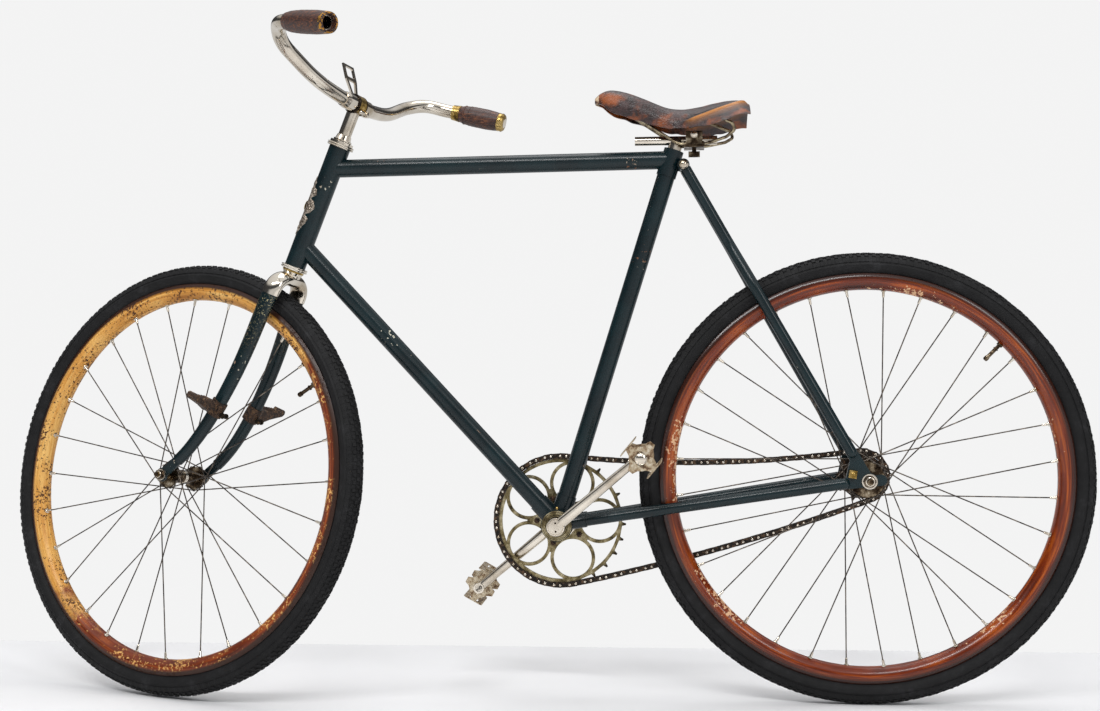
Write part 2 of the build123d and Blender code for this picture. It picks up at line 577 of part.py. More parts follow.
# Spider: five arms from the crank boss to the webs of the ring.
SPIDER_ARM_WIDTH = 13.0
SPIDER_REACH = 38.0
SPIDER_THICKNESS = 4.0
boss_radius = CRANK_BOSS_DIAMETER / 2
right_boss_inner = CRANK_BOSS_Y["right"] - CRANK_THICKNESS / 2
axle_hole = cross_through(CRANK_CENTRE, CRANK_AXLE_DIAMETER + 2 * SEAT_GAP)
spider_face = Circle(boss_radius + 4)
for k in range(5):
    spider_face += strip((0, 0), polar(SPIDER_REACH, 36 + 72 * k), SPIDER_ARM_WIDTH)
spider = slab(spider_face, ring_outer_y, ring_outer_y + SPIDER_THICKNESS)
spider += slab(Circle(boss_radius), lip_end + 0.5, right_boss_inner)
write("crank_spider", spider.moved(Location(CRANK_CENTRE)) - axle_hole)

# Crank axle: a plain bar with two small spanner holes in each end.
left_boss_outer = -CRANK_BOSS_Y["left"] - CRANK_THICKNESS / 2
right_boss_outer = CRANK_BOSS_Y["right"] + CRANK_THICKNESS / 2
SPANNER_HOLE_DIAMETER = 2.6
SPANNER_HOLE_SPACING = 12.0
SPANNER_HOLE_DEPTH = 2.5
crank_axle = cross_rod(CRANK_CENTRE, CRANK_AXLE_DIAMETER, left_boss_outer, right_boss_outer)
for end, inwards in ((left_boss_outer, 1), (right_boss_outer, -1)):
    for sign in (-1, 1):
        spot = CRANK_CENTRE + Vector(0, 0, sign * SPANNER_HOLE_SPACING / 2)
        crank_axle -= cross_rod(spot, SPANNER_HOLE_DIAMETER, end, end + inwards * SPANNER_HOLE_DEPTH)
write("crank_axle", crank_axle)

# Cranks: round boss, flat fluted arm that leans outwards, round eye for the pedal.
FLUTE_WIDTH = 3.0
FLUTE_DEPTH = 1.2
FLUTE_OFFSET = 3.2
FLUTE_FROM_BOSS = 8.0
FLUTE_FROM_EYE = 22.0
CRANK_BEVEL = 1.2
PEDAL_SPINDLE_DIAMETER = 12.0
arm_half = CRANK_THICKNESS / 2 - 1
flute_run = (boss_radius + FLUTE_FROM_BOSS, CRANK_LENGTH - FLUTE_FROM_EYE)
pedal_centres = {}
for side, name in ((-1, "left"), (1, "right")):
    angle = CRANK_ANGLE if name == "left" else CRANK_ANGLE + FULL_TURN / 2
    x, z = polar(CRANK_LENGTH, angle)
    eye_centre = CRANK_CENTRE + Vector(x, 0, z)
    pedal_centres[name] = eye_centre
    boss_y, eye_y = CRANK_BOSS_Y[name], CRANK_EYE_Y
    lean = math.degrees(math.atan2(eye_y - boss_y, CRANK_LENGTH))
    arm_face = outline([(0, -CRANK_ROOT_WIDTH / 2), (0, CRANK_ROOT_WIDTH / 2),
                        (CRANK_LENGTH, CRANK_TIP_WIDTH / 2), (CRANK_LENGTH, -CRANK_TIP_WIDTH / 2)])
    arm = slab(arm_face, -arm_half, arm_half)
    for sign in (-1, 1):
        near = (flute_run[0], sign * FLUTE_OFFSET)
        far = (flute_run[1], sign * FLUTE_OFFSET * CRANK_TIP_WIDTH / CRANK_ROOT_WIDTH)
        arm -= slab(strip(near, far, FLUTE_WIDTH), arm_half - FLUTE_DEPTH, arm_half + 1)
    arm = arm.rotate(Axis.Z, lean).moved(Location((0, boss_y, 0)))
    if side < 0:
        arm = mirrored(arm)
    crank = in_plane(arm, CRANK_CENTRE, angle)
    crank += button(CRANK_CENTRE, CRANK_BOSS_DIAMETER, side * (boss_y - CRANK_THICKNESS / 2),
                    side * (boss_y + CRANK_THICKNESS / 2), CRANK_BEVEL)
    crank += button(eye_centre, CRANK_EYE_DIAMETER, side * (eye_y - CRANK_EYE_WIDTH / 2),
                    side * (eye_y + CRANK_EYE_WIDTH / 2), CRANK_BEVEL)
    crank -= axle_hole
    crank -= cross_through(eye_centre, PEDAL_SPINDLE_DIAMETER + 2 * SEAT_GAP)
    write(f"crank_{name}", crank)

# Pedals: a spindle in the crank eye, a barrel that turns on it, and a rat-trap cage.
PEDAL_INNER_Y = 73.5
PEDAL_LENGTH = 78.0
PEDAL_TURN = {"left": 50.0, "right": -29.0}
PEDAL_PLATE_OFFSET = 26.0
PEDAL_PLATE_WIDTH = 34.0
PEDAL_PLATE_THICKNESS = 1.6
PEDAL_END_PLATE = 3.0
PEDAL_SQUARE = 19.0
PEDAL_BARREL_DIAMETER = 17.0
PEDAL_FLANGE_DIAMETER = 26.0
PEDAL_FLANGE_WIDTH = 2.0
PEDAL_JOURNAL_DIAMETER = 10.0
PEDAL_CAP_DEPTH = 6.0
PEDAL_END_GAP = 0.5
PEDAL_STAR = [(17.4, 7.8), (12.9, 12.9), (7.8, 17.4)]
PEDAL_STAR_POINT = 4.5
TREAD_TEETH = 8
TREAD_TOOTH_DEPTH = 3.0
TREAD_WINDOW = (15.0, 14.0)
TREAD_WINDOW_CORNER = 4.0
pedal_outer_y = PEDAL_INNER_Y + PEDAL_LENGTH
outer_plate_y = pedal_outer_y - PEDAL_END_PLATE
journal_end = pedal_outer_y - PEDAL_CAP_DEPTH
star_tip = PEDAL_PLATE_OFFSET - PEDAL_PLATE_THICKNESS / 2
spindles = []
for side, name in ((-1, "left"), (1, "right")):
    centre = pedal_centres[name]
    spindle = cross_rod(centre, PEDAL_SPINDLE_DIAMETER, CRANK_EYE_Y - CRANK_EYE_WIDTH / 2,
                        PEDAL_INNER_Y - PEDAL_END_GAP)
    spindle += cross_rod(centre, PEDAL_JOURNAL_DIAMETER, PEDAL_INNER_Y - PEDAL_END_GAP, journal_end)
    spindles.append(spindle if side > 0 else mirrored(spindle))

    barrel = slab(Circle(PEDAL_BARREL_DIAMETER / 2), PEDAL_INNER_Y, pedal_outer_y - PEDAL_END_GAP)
    barrel += slab(Rectangle(PEDAL_SQUARE, PEDAL_SQUARE), PEDAL_INNER_Y, PEDAL_INNER_Y + PEDAL_END_PLATE)
    barrel += slab(Circle(PEDAL_FLANGE_DIAMETER / 2), outer_plate_y - SEAT_GAP - PEDAL_FLANGE_WIDTH,
                   outer_plate_y - SEAT_GAP)
    barrel -= slab(Circle(PEDAL_JOURNAL_DIAMETER / 2 + RUNNING_GAP), PEDAL_INNER_Y - 1,
                   journal_end + PEDAL_END_GAP)

    quarter = [(star_tip, -PEDAL_STAR_POINT), (star_tip, PEDAL_STAR_POINT)] + PEDAL_STAR
    star = []
    for turn in range(4):
        c, s = round(math.cos(math.pi * turn / 2)), round(math.sin(math.pi * turn / 2))
        star += [(x * c - z * s, x * s + z * c) for x, z in quarter]
    hole = PEDAL_SQUARE + 2 * SEAT_GAP
    end_face = outline(star) - Rectangle(hole, hole)
    cage = [slab(end_face, PEDAL_INNER_Y, PEDAL_INNER_Y + PEDAL_END_PLATE),
            slab(end_face, outer_plate_y, pedal_outer_y)]
    step = PEDAL_LENGTH / TREAD_TEETH
    edge = []
    for k in range(TREAD_TEETH):
        edge += [(PEDAL_INNER_Y + step * k, PEDAL_PLATE_WIDTH / 2 - TREAD_TOOTH_DEPTH),
                 (PEDAL_INNER_Y + step * (k + 0.5), PEDAL_PLATE_WIDTH / 2)]
    edge.append((pedal_outer_y, PEDAL_PLATE_WIDTH / 2 - TREAD_TOOTH_DEPTH))
    tread_face = outline([(x, y) for y, x in edge + [(y, -x) for y, x in reversed(edge)]])
    window = RectangleRounded(TREAD_WINDOW[0], PEDAL_LENGTH / 2 - TREAD_WINDOW[1], TREAD_WINDOW_CORNER)
    for share in (0.25, 0.75):
        tread_face -= Pos(0, PEDAL_INNER_Y + share * PEDAL_LENGTH) * window
    tread = extrude(Plane.XY * tread_face, PEDAL_PLATE_THICKNESS)
    cage.append(tread.moved(Location((0, 0, star_tip + SEAT_GAP))))
    cage.append(tread.moved(Location((0, 0, -star_tip - SEAT_GAP - PEDAL_PLATE_THICKNESS))))
    for node, pieces in (("barrel", [barrel]), ("cage", cage)):
        placed = Compound(children=pieces)
        if side < 0:
            placed = mirrored(placed)
        write(f"pedal_{node}_{name}", in_plane(placed, centre, PEDAL_TURN[name]))
write("pedal_spindles", Compound(children=spindles))


# Wheels, drawn about the axle at the origin: tyre, wooden rim, tangent spokes, hub, valve.
def make_tyre():
    """A tyre of round section, one solid ring."""
    return revolve(Plane.XY * Pos(TYRE_CENTRE_RADIUS, 0) * Circle(TYRE_SECTION / 2), Axis.Y)


def make_rim():
    """A wooden hoop of round section with a hollow seat for the tyre."""
    hoop = Pos(RIM_CENTRE_RADIUS, 0) * Circle(RIM_SECTION_RADIUS)
    hoop -= Pos(TYRE_CENTRE_RADIUS, 0) * Circle(TYRE_SECTION / 2 + TYRE_SEAT_GAP)
    return revolve(Plane.XY * hoop, Axis.Y)


def make_spokes(count, phase, flange_radius, flange_y):
    """Tangent spokes: two lean one way and two the other, from alternate flanges."""
    start_radius = flange_radius + SPOKE_DIAMETER / 2 + SPOKE_SEAT_GAP
    end_radius = RIM_INNER_RADIUS - SPOKE_RIM_GAP
    swing = math.degrees(math.acos(start_radius / end_radius))
    spokes = []
    for k in range(count):
        side = 1 if k % 2 else -1
        lean = 1 if k % 4 in (1, 2) else -1
        at_rim = phase + 360 / count * k
        x0, z0 = polar(start_radius, at_rim + lean * swing)
        x1, z1 = polar(end_radius, at_rim)
        shift = lean * SPOKE_STAGGER
        spokes.append(rod((x0, side * (flange_y + shift), z0),
                          (x1, side * (SPOKE_RIM_OFFSET + shift), z1), SPOKE_DIAMETER))
    return Compound(children=spokes)


def make_valve(angle):
    """A brass valve stem that stands on the inner side of the rim."""
    seat = RIM_INNER_RADIUS - SPOKE_RIM_GAP
    stem = rod((seat - VALVE_LENGTH, 0, 0), (seat, 0, 0), VALVE_DIAMETER)
    stem += rod((seat - 3, 0, 0), (seat, 0, 0), VALVE_DIAMETER + 4)
    return in_plane(stem, (0, 0, 0), angle)


REAR_FLANGE_RADIUS = 27.5
REAR_FLANGE_Y = 29.0
REAR_HUB_END = 34.0
REAR_CONE_DIAMETER = 18.0
FRONT_FLANGE_RADIUS = 19.0
FRONT_FLANGE_Y = 32.0
FRONT_HUB_END = 37.0
FRONT_CONE_DIAMETER = 13.0
FLANGE_THICKNESS = 2 * SPOKE_STAGGER + SPOKE_DIAMETER
SPROCKET_BORE = 30.0
HUB_CUP_WALL = 3.5
CONE_DEPTH = 8.0


def make_hub(barrel, flange_radius, flange_y, end_y, cone, right_end):
    """A turned hub: flanges, barrel and ends round the bore for the cones."""
    half = FLANGE_THICKNESS / 2
    cup = cone / 2 + HUB_CUP_WALL
    left = [(cone / 2 + RUNNING_GAP, -end_y), (cup, -end_y), (cup, -flange_y - half),
            (flange_radius, -flange_y - half), (flange_radius, -flange_y + half),
            (barrel / 2 + 2, -flange_y + half), (barrel / 2, -flange_y + half + 6)]
    right = [(r, -y) for r, y in reversed(left)]
    if right_end:
        sprocket_side = CHAIN_LINE - RING_THICKNESS / 2
        bore = right[-1][0]
        right = right[:4] + [(SPROCKET_BORE / 2 + 3, flange_y + half), (SPROCKET_BORE / 2 + 3, sprocket_side),
                             (SPROCKET_BORE / 2, sprocket_side), (SPROCKET_BORE / 2, right_end),
                             (bore, right_end)]
    return turned(left + right, (0, 0, 0))


def make_axle(diameter, cone, cone_from, end_inner, axle_end):
    """An axle with the cones that the hub turns on and a tip turned down outside each nut."""
    tip, shoulder = diameter / 2 - AXLE_TIP_STEP, axle_end - AXLE_STUB
    bar = diameter / 2
    half = [(0, 0), (bar, 0), (bar, cone_from), (cone / 2, cone_from), (cone / 2, end_inner),
            (bar, end_inner), (bar, shoulder), (tip, shoulder), (tip, axle_end), (0, axle_end)]
    side = turned(half, (0, 0, 0))
    return side + mirrored(side)


def make_nuts(centre, diameter, size, inner_y):
    """Washer and hexagon nut on each end of an axle."""
    hole = Circle(diameter / 2 + SEAT_GAP)
    nut_y = inner_y + WASHER_THICKNESS
    washer = slab(Circle(size * WASHER_WIDTH) - hole, inner_y, nut_y)
    nut = slab(RegularPolygon(size / 2, 6, major_radius=False) - hole, nut_y, nut_y + size * NUT_HEIGHT)
    one = Compound(children=[washer, nut])
    return Compound(children=[mirrored(one).moved(Location(centre)), one.moved(Location(centre))])


REAR_HUB_BARREL = 32.0
FRONT_HUB_BARREL = 21.5
REAR_NUT = 16.0
FRONT_NUT = 13.0
FRONT_AXLE_DIAMETER = 8.0
rear_end_outer = REAR_END_INNER_Y + REAR_END_PLATE
front_end_outer = FORK_END_INNER_Y + FORK_END_PLATE
sprocket_hub_end = CHAIN_LINE + RING_THICKNESS / 2 + 1
AXLE_STUB = 5.0
AXLE_TIP_STEP = 0.5
AXLE_SHOULDER = 0.5
NUT_HEIGHT = 0.45
WASHER_THICKNESS = 1.8
WASHER_WIDTH = 0.75
rear_axle_end = rear_end_outer + WASHER_THICKNESS + REAR_NUT * NUT_HEIGHT + AXLE_SHOULDER + AXLE_STUB
front_axle_end = front_end_outer + WASHER_THICKNESS + FRONT_NUT * NUT_HEIGHT + AXLE_SHOULDER + AXLE_STUB
sprocket_face = toothed(SPROCKET_TEETH, sprocket_pins, gap_angle(REAR_AXLE))
sprocket_face -= Circle(SPROCKET_BORE / 2 + SEAT_GAP)
sprocket = slab(sprocket_face, CHAIN_LINE - RING_THICKNESS / 2, CHAIN_LINE + RING_THICKNESS / 2)
rear_pieces = {
    "rear_tyre": make_tyre(),
    "rear_rim": make_rim(),
    "rear_spokes": make_spokes(REAR_SPOKES, REAR_SPOKE_PHASE, REAR_FLANGE_RADIUS, REAR_FLANGE_Y),
    "rear_valve": make_valve(REAR_VALVE_ANGLE),
    "rear_hub": make_hub(REAR_HUB_BARREL, REAR_FLANGE_RADIUS, REAR_FLANGE_Y, REAR_HUB_END,
                         REAR_CONE_DIAMETER, sprocket_hub_end),
    "sprocket": sprocket,
    "rear_axle": make_axle(AXLE_DIAMETER, REAR_CONE_DIAMETER, REAR_HUB_END - CONE_DEPTH, REAR_END_INNER_Y,
                           rear_axle_end),
}
for name, piece in rear_pieces.items():
    write(name, piece.moved(Location(REAR_AXLE)))
write("rear_axle_nuts", make_nuts(REAR_AXLE, AXLE_DIAMETER, REAR_NUT, rear_end_outer))
front_pieces = {
    "front_tyre": make_tyre(),
    "front_rim": make_rim(),
    "front_spokes": make_spokes(FRONT_SPOKES, FRONT_SPOKE_PHASE, FRONT_FLANGE_RADIUS, FRONT_FLANGE_Y),
    "front_valve": make_valve(FRONT_VALVE_ANGLE),
    "front_hub": make_hub(FRONT_HUB_BARREL, FRONT_FLANGE_RADIUS, FRONT_FLANGE_Y, FRONT_HUB_END,
                          FRONT_CONE_DIAMETER, 0),
    "front_axle": make_axle(FRONT_AXLE_DIAMETER, FRONT_CONE_DIAMETER, FRONT_HUB_END - CONE_DEPTH,
                            FORK_END_INNER_Y, front_axle_end),
}
for name, piece in front_pieces.items():
    write(name, steered(piece.moved(Location(FRONT_AXLE))))
write("front_axle_nuts", steered(make_nuts(FRONT_AXLE, FRONT_AXLE_DIAMETER, FRONT_NUT, front_end_outer)))

# Fork blades, drawn in the steering frame: oval at the crown, slender and curved forward at the foot.
BLADE_TOP_Y = 34.0
BLADE_TOP_Z = -46.0
BLADE_TOP_SIZE = (30.0, 19.0)
BLADE_TIP_SIZE = (20.0, 16.0)
BLADE_FOOT_BEHIND_AXLE = 20.5
BLADE_FOOT_ABOVE_AXLE = 33.4
# Each row: share of the blade's length, share of its forward curve, share of its spread, tilt in degrees.
BLADE_CURVE = [(0.0, 0.0, 0.0, 0.0), (0.229, 0.007, 0.295, 0.6), (0.452, 0.039, 0.557, 1.5),
               (0.669, 0.227, 0.787, 11.0), (0.834, 0.5, 0.918, 17.0), (1.0, 1.0, 1.0, 29.0)]
hub_z = -FORK_LENGTH
tip_y = FORK_END_INNER_Y + FORK_END_PLATE / 2
foot_x, foot_z = FORK_RAKE - BLADE_FOOT_BEHIND_AXLE, hub_z + BLADE_FOOT_ABOVE_AXLE


def blade_section(down, forward, spread, tilt, wall=0.0):
    """The place and oval outline of the right blade at one station, drawn on the left of the frame."""
    length, width = (top + (tip - top) * down + 2 * wall for top, tip in zip(BLADE_TOP_SIZE, BLADE_TIP_SIZE))
    turn = math.radians(tilt)
    place = (foot_x * forward, BLADE_TOP_Y + (tip_y - BLADE_TOP_Y) * spread,
             BLADE_TOP_Z + (foot_z - BLADE_TOP_Z) * down)
    station = Plane(origin=place, x_dir=(math.cos(turn), 0, math.sin(turn)),
                    z_dir=(-math.sin(turn), 0, math.cos(turn)))
    return station * Ellipse(length / 2, width / 2)


FORK_END_STRIP = 16.0
FORK_END_EYE = 22.0
blade = loft([blade_section(*row) for row in BLADE_CURVE])
hub_point = (FORK_RAKE, hub_z)
fork_end_neck = strip((foot_x, foot_z), hub_point, FORK_END_STRIP)
fork_end_face = fork_end_neck + Pos(*hub_point) * Circle(FORK_END_EYE / 2)
fork_end_face -= Pos(*hub_point) * Circle(FRONT_AXLE_DIAMETER / 2 + BRAZE_GAP)
fork_end = slab(fork_end_face, FORK_END_INNER_Y, FORK_END_INNER_Y + FORK_END_PLATE)
blade -= slab(offset(fork_end_neck, BRAZE_GAP), FORK_END_INNER_Y - BRAZE_GAP,
              FORK_END_INNER_Y + FORK_END_PLATE + BRAZE_GAP)
write("fork_blade_left", at_head(blade))
write("fork_blade_right", at_head(mirrored(blade)))
write("front_fork_ends", at_head(Compound(children=[fork_end, mirrored(fork_end)])))

# Fork crown: an arch of oval section with a socket on each blade, under a turned neck.
HEADSET_GAP = 0.3
CROWN_TOP_Z = -CUP_FLANGE_WIDTH - HEADSET_GAP
CROWN_SECTION = Ellipse(32.6 / 2, 21.6 / 2)
CROWN_ARCH_Z = -23.0
CROWN_ARCH_BEND = 24.0
CROWN_SOCKET_Z = -54.0
CROWN_NECK = [(17.0, 0.0), (17.0, 3.5), (14.8, 8.0), (14.8, 17.0)]
foot_left, foot_right = (0, -BLADE_TOP_Y, CROWN_SOCKET_Z), (0, BLADE_TOP_Y, CROWN_SOCKET_Z)
bend_left, bend_right = (0, -BLADE_TOP_Y, CROWN_ARCH_Z), (0, BLADE_TOP_Y, CROWN_ARCH_Z)
arch = FilletPolyline(foot_left, bend_left, bend_right, foot_right, radius=CROWN_ARCH_BEND)
oval = Plane(origin=foot_left, x_dir=(1, 0, 0), z_dir=(0, 0, 1)) * CROWN_SECTION
neck_outline = [(0, CROWN_TOP_Z)] + [(r, CROWN_TOP_Z - drop) for r, drop in CROWN_NECK]
neck_outline.append((0, neck_outline[-1][1]))
neck = revolve(Plane.XZ * outline(neck_outline), Axis.Z)
crown = sweep(oval, arch) + neck - blade - mirrored(blade)
write("fork_crown", at_head(crown.solids().sort_by(SortBy.VOLUME)[-1]))

# Steerer, locknut and stem.
LOCKNUT_DIAMETER = 28.0
LOCKNUT_HEIGHT = 11.0
LOCKNUT_RIM = 19.0
LOCKNUT_RIM_HEIGHT = 4.0
locknut_foot = HEAD_TUBE_LENGTH + CUP_FLANGE_WIDTH + HEADSET_GAP
steerer = Cylinder(STEERER_DIAMETER / 2, locknut_foot - CROWN_TOP_Z)
write("steerer", at_head(Pos(0, 0, (CROWN_TOP_Z + locknut_foot) / 2) * steerer))
locknut = Pos(0, 0, LOCKNUT_RIM_HEIGHT / 2) * Cylinder(LOCKNUT_RIM, LOCKNUT_RIM_HEIGHT)
locknut += Pos(0, 0, LOCKNUT_RIM_HEIGHT + LOCKNUT_HEIGHT / 2) * Cone(
    LOCKNUT_DIAMETER / 2, STEM_DIAMETER / 2 + 1, LOCKNUT_HEIGHT)
locknut -= Cylinder(STEM_DIAMETER / 2 + SEAT_GAP, THROUGH)
write("head_locknut", at_head(Pos(0, 0, locknut_foot) * locknut))

# Handlebar: one tube, swept up and back to the grips, thickened where the stem holds it.
SLEEVE_OUTLINE = [(11.6, 38.0), (13.5, 30.0)]
CLAMP_DIAMETER = 32.0
CLAMP_WIDTH = 16.0
# Corners of the right half, from the middle of the bar: forward, sideways and up.
BAR_CORNERS = [(0, 34, 0), (7.6, 100, 10.8), (20.6, 178, 48.8), (2.6, 212, 61.8), (-23.2, 235.6, 56.3),
               (-123.7, 261.7, 31.9)]
BAR_BENDS = [120.0, 230.0, 66.0, 62.0, 60.0]
BAR_BORE = 19.0
BAR_BORE_DEPTH = 70.0
bar_centre = HEAD_FOOT + HEAD_DIR * BAR_HEIGHT
right_run = [(bar_centre.X - forward, y, bar_centre.Z + up) for forward, y, up in BAR_CORNERS]
half_bar = bent_rod([(bar_centre.X, 0, bar_centre.Z)] + right_run, BAR_BENDS, BAR_DIAMETER)
grip_end = Vector(*right_run[-1])
grip_dir = (grip_end - Vector(*right_run[-2])).normalized()
half_bar -= rod(grip_end - grip_dir * BAR_BORE_DEPTH, grip_end + grip_dir, BAR_BORE)
sleeve_side = SLEEVE_OUTLINE + [(r, -y) for r, y in reversed(SLEEVE_OUTLINE)]
sleeve_face = [(0, SLEEVE_OUTLINE[0][1])] + sleeve_side + [(0, -SLEEVE_OUTLINE[0][1])]
write("handlebar", steered(half_bar + mirrored(half_bar) + turned(sleeve_face, bar_centre)))
clamp_hole = 2 * (SLEEVE_OUTLINE[-1][0] + SEAT_GAP)
clamp = cross_rod(bar_centre, CLAMP_DIAMETER, -CLAMP_WIDTH / 2, CLAMP_WIDTH / 2)
write("bar_clamp", steered(clamp - cross_through(bar_centre, clamp_hole)))
clamp_core = cross_through(bar_centre, CLAMP_DIAMETER + 2 * SEAT_GAP)
stem = rod(HEAD_FOOT + HEAD_DIR * (locknut_foot + 0.5), bar_centre, STEM_DIAMETER) - clamp_core
write("stem", steered(stem.solids().sort_by(SortBy.VOLUME)[-1]))

# Grips: barrel-shaped handles on the ends of the bar, the right one with ferrule and cap.
GRIP_LENGTH = 91.0
GRIP_FERRULE = 14.0
GRIP_MOUTH = 8.0
GRIP_MOUTH_RADIUS = 12.4
GRIP_CAP = 6.0
GRIP_RADII = [(0.0, 13.5), (0.12, 15.8), (0.35, 17.3), (0.7, 17.5), (0.9, 16.5), (1.0, 15.5)]
CAP_OUTLINE = [(15.5, -6.0), (15.5, 1.0), (14.0, 3.5), (9.0, 5.0)]
grip_start = grip_end - grip_dir * GRIP_LENGTH
bar_hole = BAR_DIAMETER / 2 + SEAT_GAP


def on_grip(profile):
    """Turn an outline of (radius, distance) points about the right end of the bar."""
    return Plane(origin=grip_start, z_dir=grip_dir).location * revolve(Plane.XZ * outline(profile), Axis.Z)


def barrel_outline(start, end):
    """The outside of a grip between two distances, with the hole for the bar."""
    outer = [(radius, start + share * (end - start)) for share, radius in GRIP_RADII]
    return outer + [(bar_hole, end), (bar_hole, start)]


mouth_end = GRIP_LENGTH + GRIP_MOUTH
left_outline = barrel_outline(0, mouth_end)[:-2]
left_outline += [(GRIP_MOUTH_RADIUS, mouth_end), (GRIP_MOUTH_RADIUS, GRIP_LENGTH), (bar_hole, GRIP_LENGTH),
                 (bar_hole, 0)]
write("grip_left", steered(mirrored(on_grip(left_outline))))
right_outline = barrel_outline(GRIP_FERRULE + SEAT_GAP, GRIP_LENGTH - GRIP_CAP - SEAT_GAP)
write("grip_right", steered(on_grip(right_outline)))
cap_face = [(r, GRIP_LENGTH + y) for r, y in CAP_OUTLINE]
cap_face += [(0, cap_face[-1][1]), (0, GRIP_LENGTH + SEAT_GAP), (bar_hole, GRIP_LENGTH + SEAT_GAP),
             (bar_hole, cap_face[0][1])]
ferrule = on_grip([(13.0, 0), (14.2, GRIP_FERRULE), (bar_hole, GRIP_FERRULE), (bar_hole, 0)])
write("grip_fittings", steered(Compound(children=[ferrule, on_grip(cap_face)])))

# Lamp bracket: a flat strap that stands on the bar clamp, leans forward and ends in a window.
LAMP_LEAN = 17.0
LAMP_THICKNESS = 3.0
LAMP_OUTLINE = [(7, 10), (15, 44), (15, 72), (-15, 72), (-15, 44), (-7, 10)]
LAMP_LEGS = [(3.5, 20), (9.5, 43), (-9.5, 43), (-3.5, 20)]
LAMP_WINDOW = (20.0, 19.0)
LAMP_WINDOW_UP = 58.5
lean = math.radians(LAMP_LEAN)
lamp_plane = Plane(origin=bar_centre, x_dir=(0, -1, 0), z_dir=(-math.cos(lean), 0, -math.sin(lean)))
lamp_face = outline(LAMP_OUTLINE) - outline(LAMP_LEGS)
lamp_face -= Pos(0, LAMP_WINDOW_UP) * RectangleRounded(*LAMP_WINDOW, 3)
lamp_bracket = extrude(lamp_plane * lamp_face, LAMP_THICKNESS / 2, both=True) - clamp_core
write("lamp_bracket", steered(lamp_bracket.solids().sort_by(SortBy.VOLUME)[-1]))

# Foot rests: a clamp band round each blade and a toothed pad that stands outwards, with a round tip.
REST_STATION = 3
REST_BAND_HEIGHT = 25.0
REST_BAND_WALL = 2.6
REST_WIDTH = 21.0
REST_TEETH = 5
REST_TOOTH_STEP = 6.2
REST_TOOTH_HEIGHT = 3.2
REST_ROOT = (8.0, 10.0)
REST_TEETH_FROM = (27.0, 11.5)
REST_TOP = [(60.0, 13.5), (63.5, 18.0), (67.5, 16.0), (68.5, 11.0), (64.5, 6.5)]
REST_UNDERSIDE = [(52.0, 3.0), (36.0, -2.0), (22.0, -8.0), (8.0, -10.0)]
rest_row = BLADE_CURVE[REST_STATION]
band_face = blade_section(*rest_row, REST_BAND_WALL)
band = extrude(band_face, REST_BAND_HEIGHT / 2, both=True)
rest_place = band_face.center()
teeth_top = [REST_ROOT]
for k in range(REST_TEETH):
    out, foot = REST_TEETH_FROM[0] + REST_TOOTH_STEP * k, REST_TEETH_FROM[1]
    teeth_top += [(out, foot), (out + REST_TOOTH_STEP / 3, foot + REST_TOOTH_HEIGHT),
                  (out + REST_TOOTH_STEP * 2 / 3, foot)]
pad_face = outline(teeth_top + REST_TOP + REST_UNDERSIDE)
pad_plane = Plane(origin=rest_place, x_dir=(0, 1, 0), z_dir=(1, 0, 0))
pad = extrude(pad_plane * pad_face, REST_WIDTH / 2, both=True)
rest = (band + pad - blade).solids().sort_by(SortBy.VOLUME)[-1]
write("foot_rests", at_head(Compound(children=[rest, mirrored(rest)])))

# Saddle leather: a shell with a high narrow nose, a dip, a broad seat and deep skirts.
LEATHER = 4.5
# Each row, from the top of the saddle: place fore and aft, height, half width, depth of the skirt.
SADDLE_ROWS = [(-187.0, 13.0, 7.5, 9.0), (-177.0, 21.0, 16.0, 21.0), (-161.0, 25.0, 21.5, 37.0),
               (-137.0, 21.0, 23.0, 42.0), (-110.0, 11.0, 24.0, 41.0), (-77.0, -3.0, 30.0, 37.0),
               (-50.0, -7.5, 40.0, 35.0), (-22.0, -4.5, 60.0, 39.0), (0.0, 0.0, 73.0, 41.0),
               (20.0, 3.5, 82.0, 39.0), (40.0, 4.0, 86.0, 33.0), (56.0, -3.0, 80.0, 25.0)]
saddle_faces = []
for x, height, half, skirt in SADDLE_ROWS:
    hem, under = height - skirt, half - LEATHER
    outer = ThreePointArc((-half, hem), (0, height), (half, hem))
    inner = ThreePointArc((under, hem), (0, height - LEATHER), (-under, hem))
    rims = Line(outer @ 1, inner @ 0), Line(inner @ 1, outer @ 0)
    station = Plane(origin=SADDLE_TOP + Vector(x, 0, 0), x_dir=(0, 1, 0), z_dir=(1, 0, 0))
    saddle_faces.append(station * make_face([outer, rims[0], inner, rims[1]]))
leather = loft(saddle_faces)
write("saddle_leather", leather)

# Saddle springs: one wire each side, from inside the nose down through the clip and up to the seat.
WIRE_DIAMETER = 5.0
WIRE_BELOW_ARM = 7.5
WIRE_AT_CLIP = 17.0
CLIP_BEHIND = 32.5
CLIP_LENGTH = 26.0
clip_x = seat_top.X + CLIP_BEHIND
wire_z = POST_ARM_Z - WIRE_BELOW_ARM
to_clip = Vector(clip_x, 0, wire_z) - SADDLE_TOP
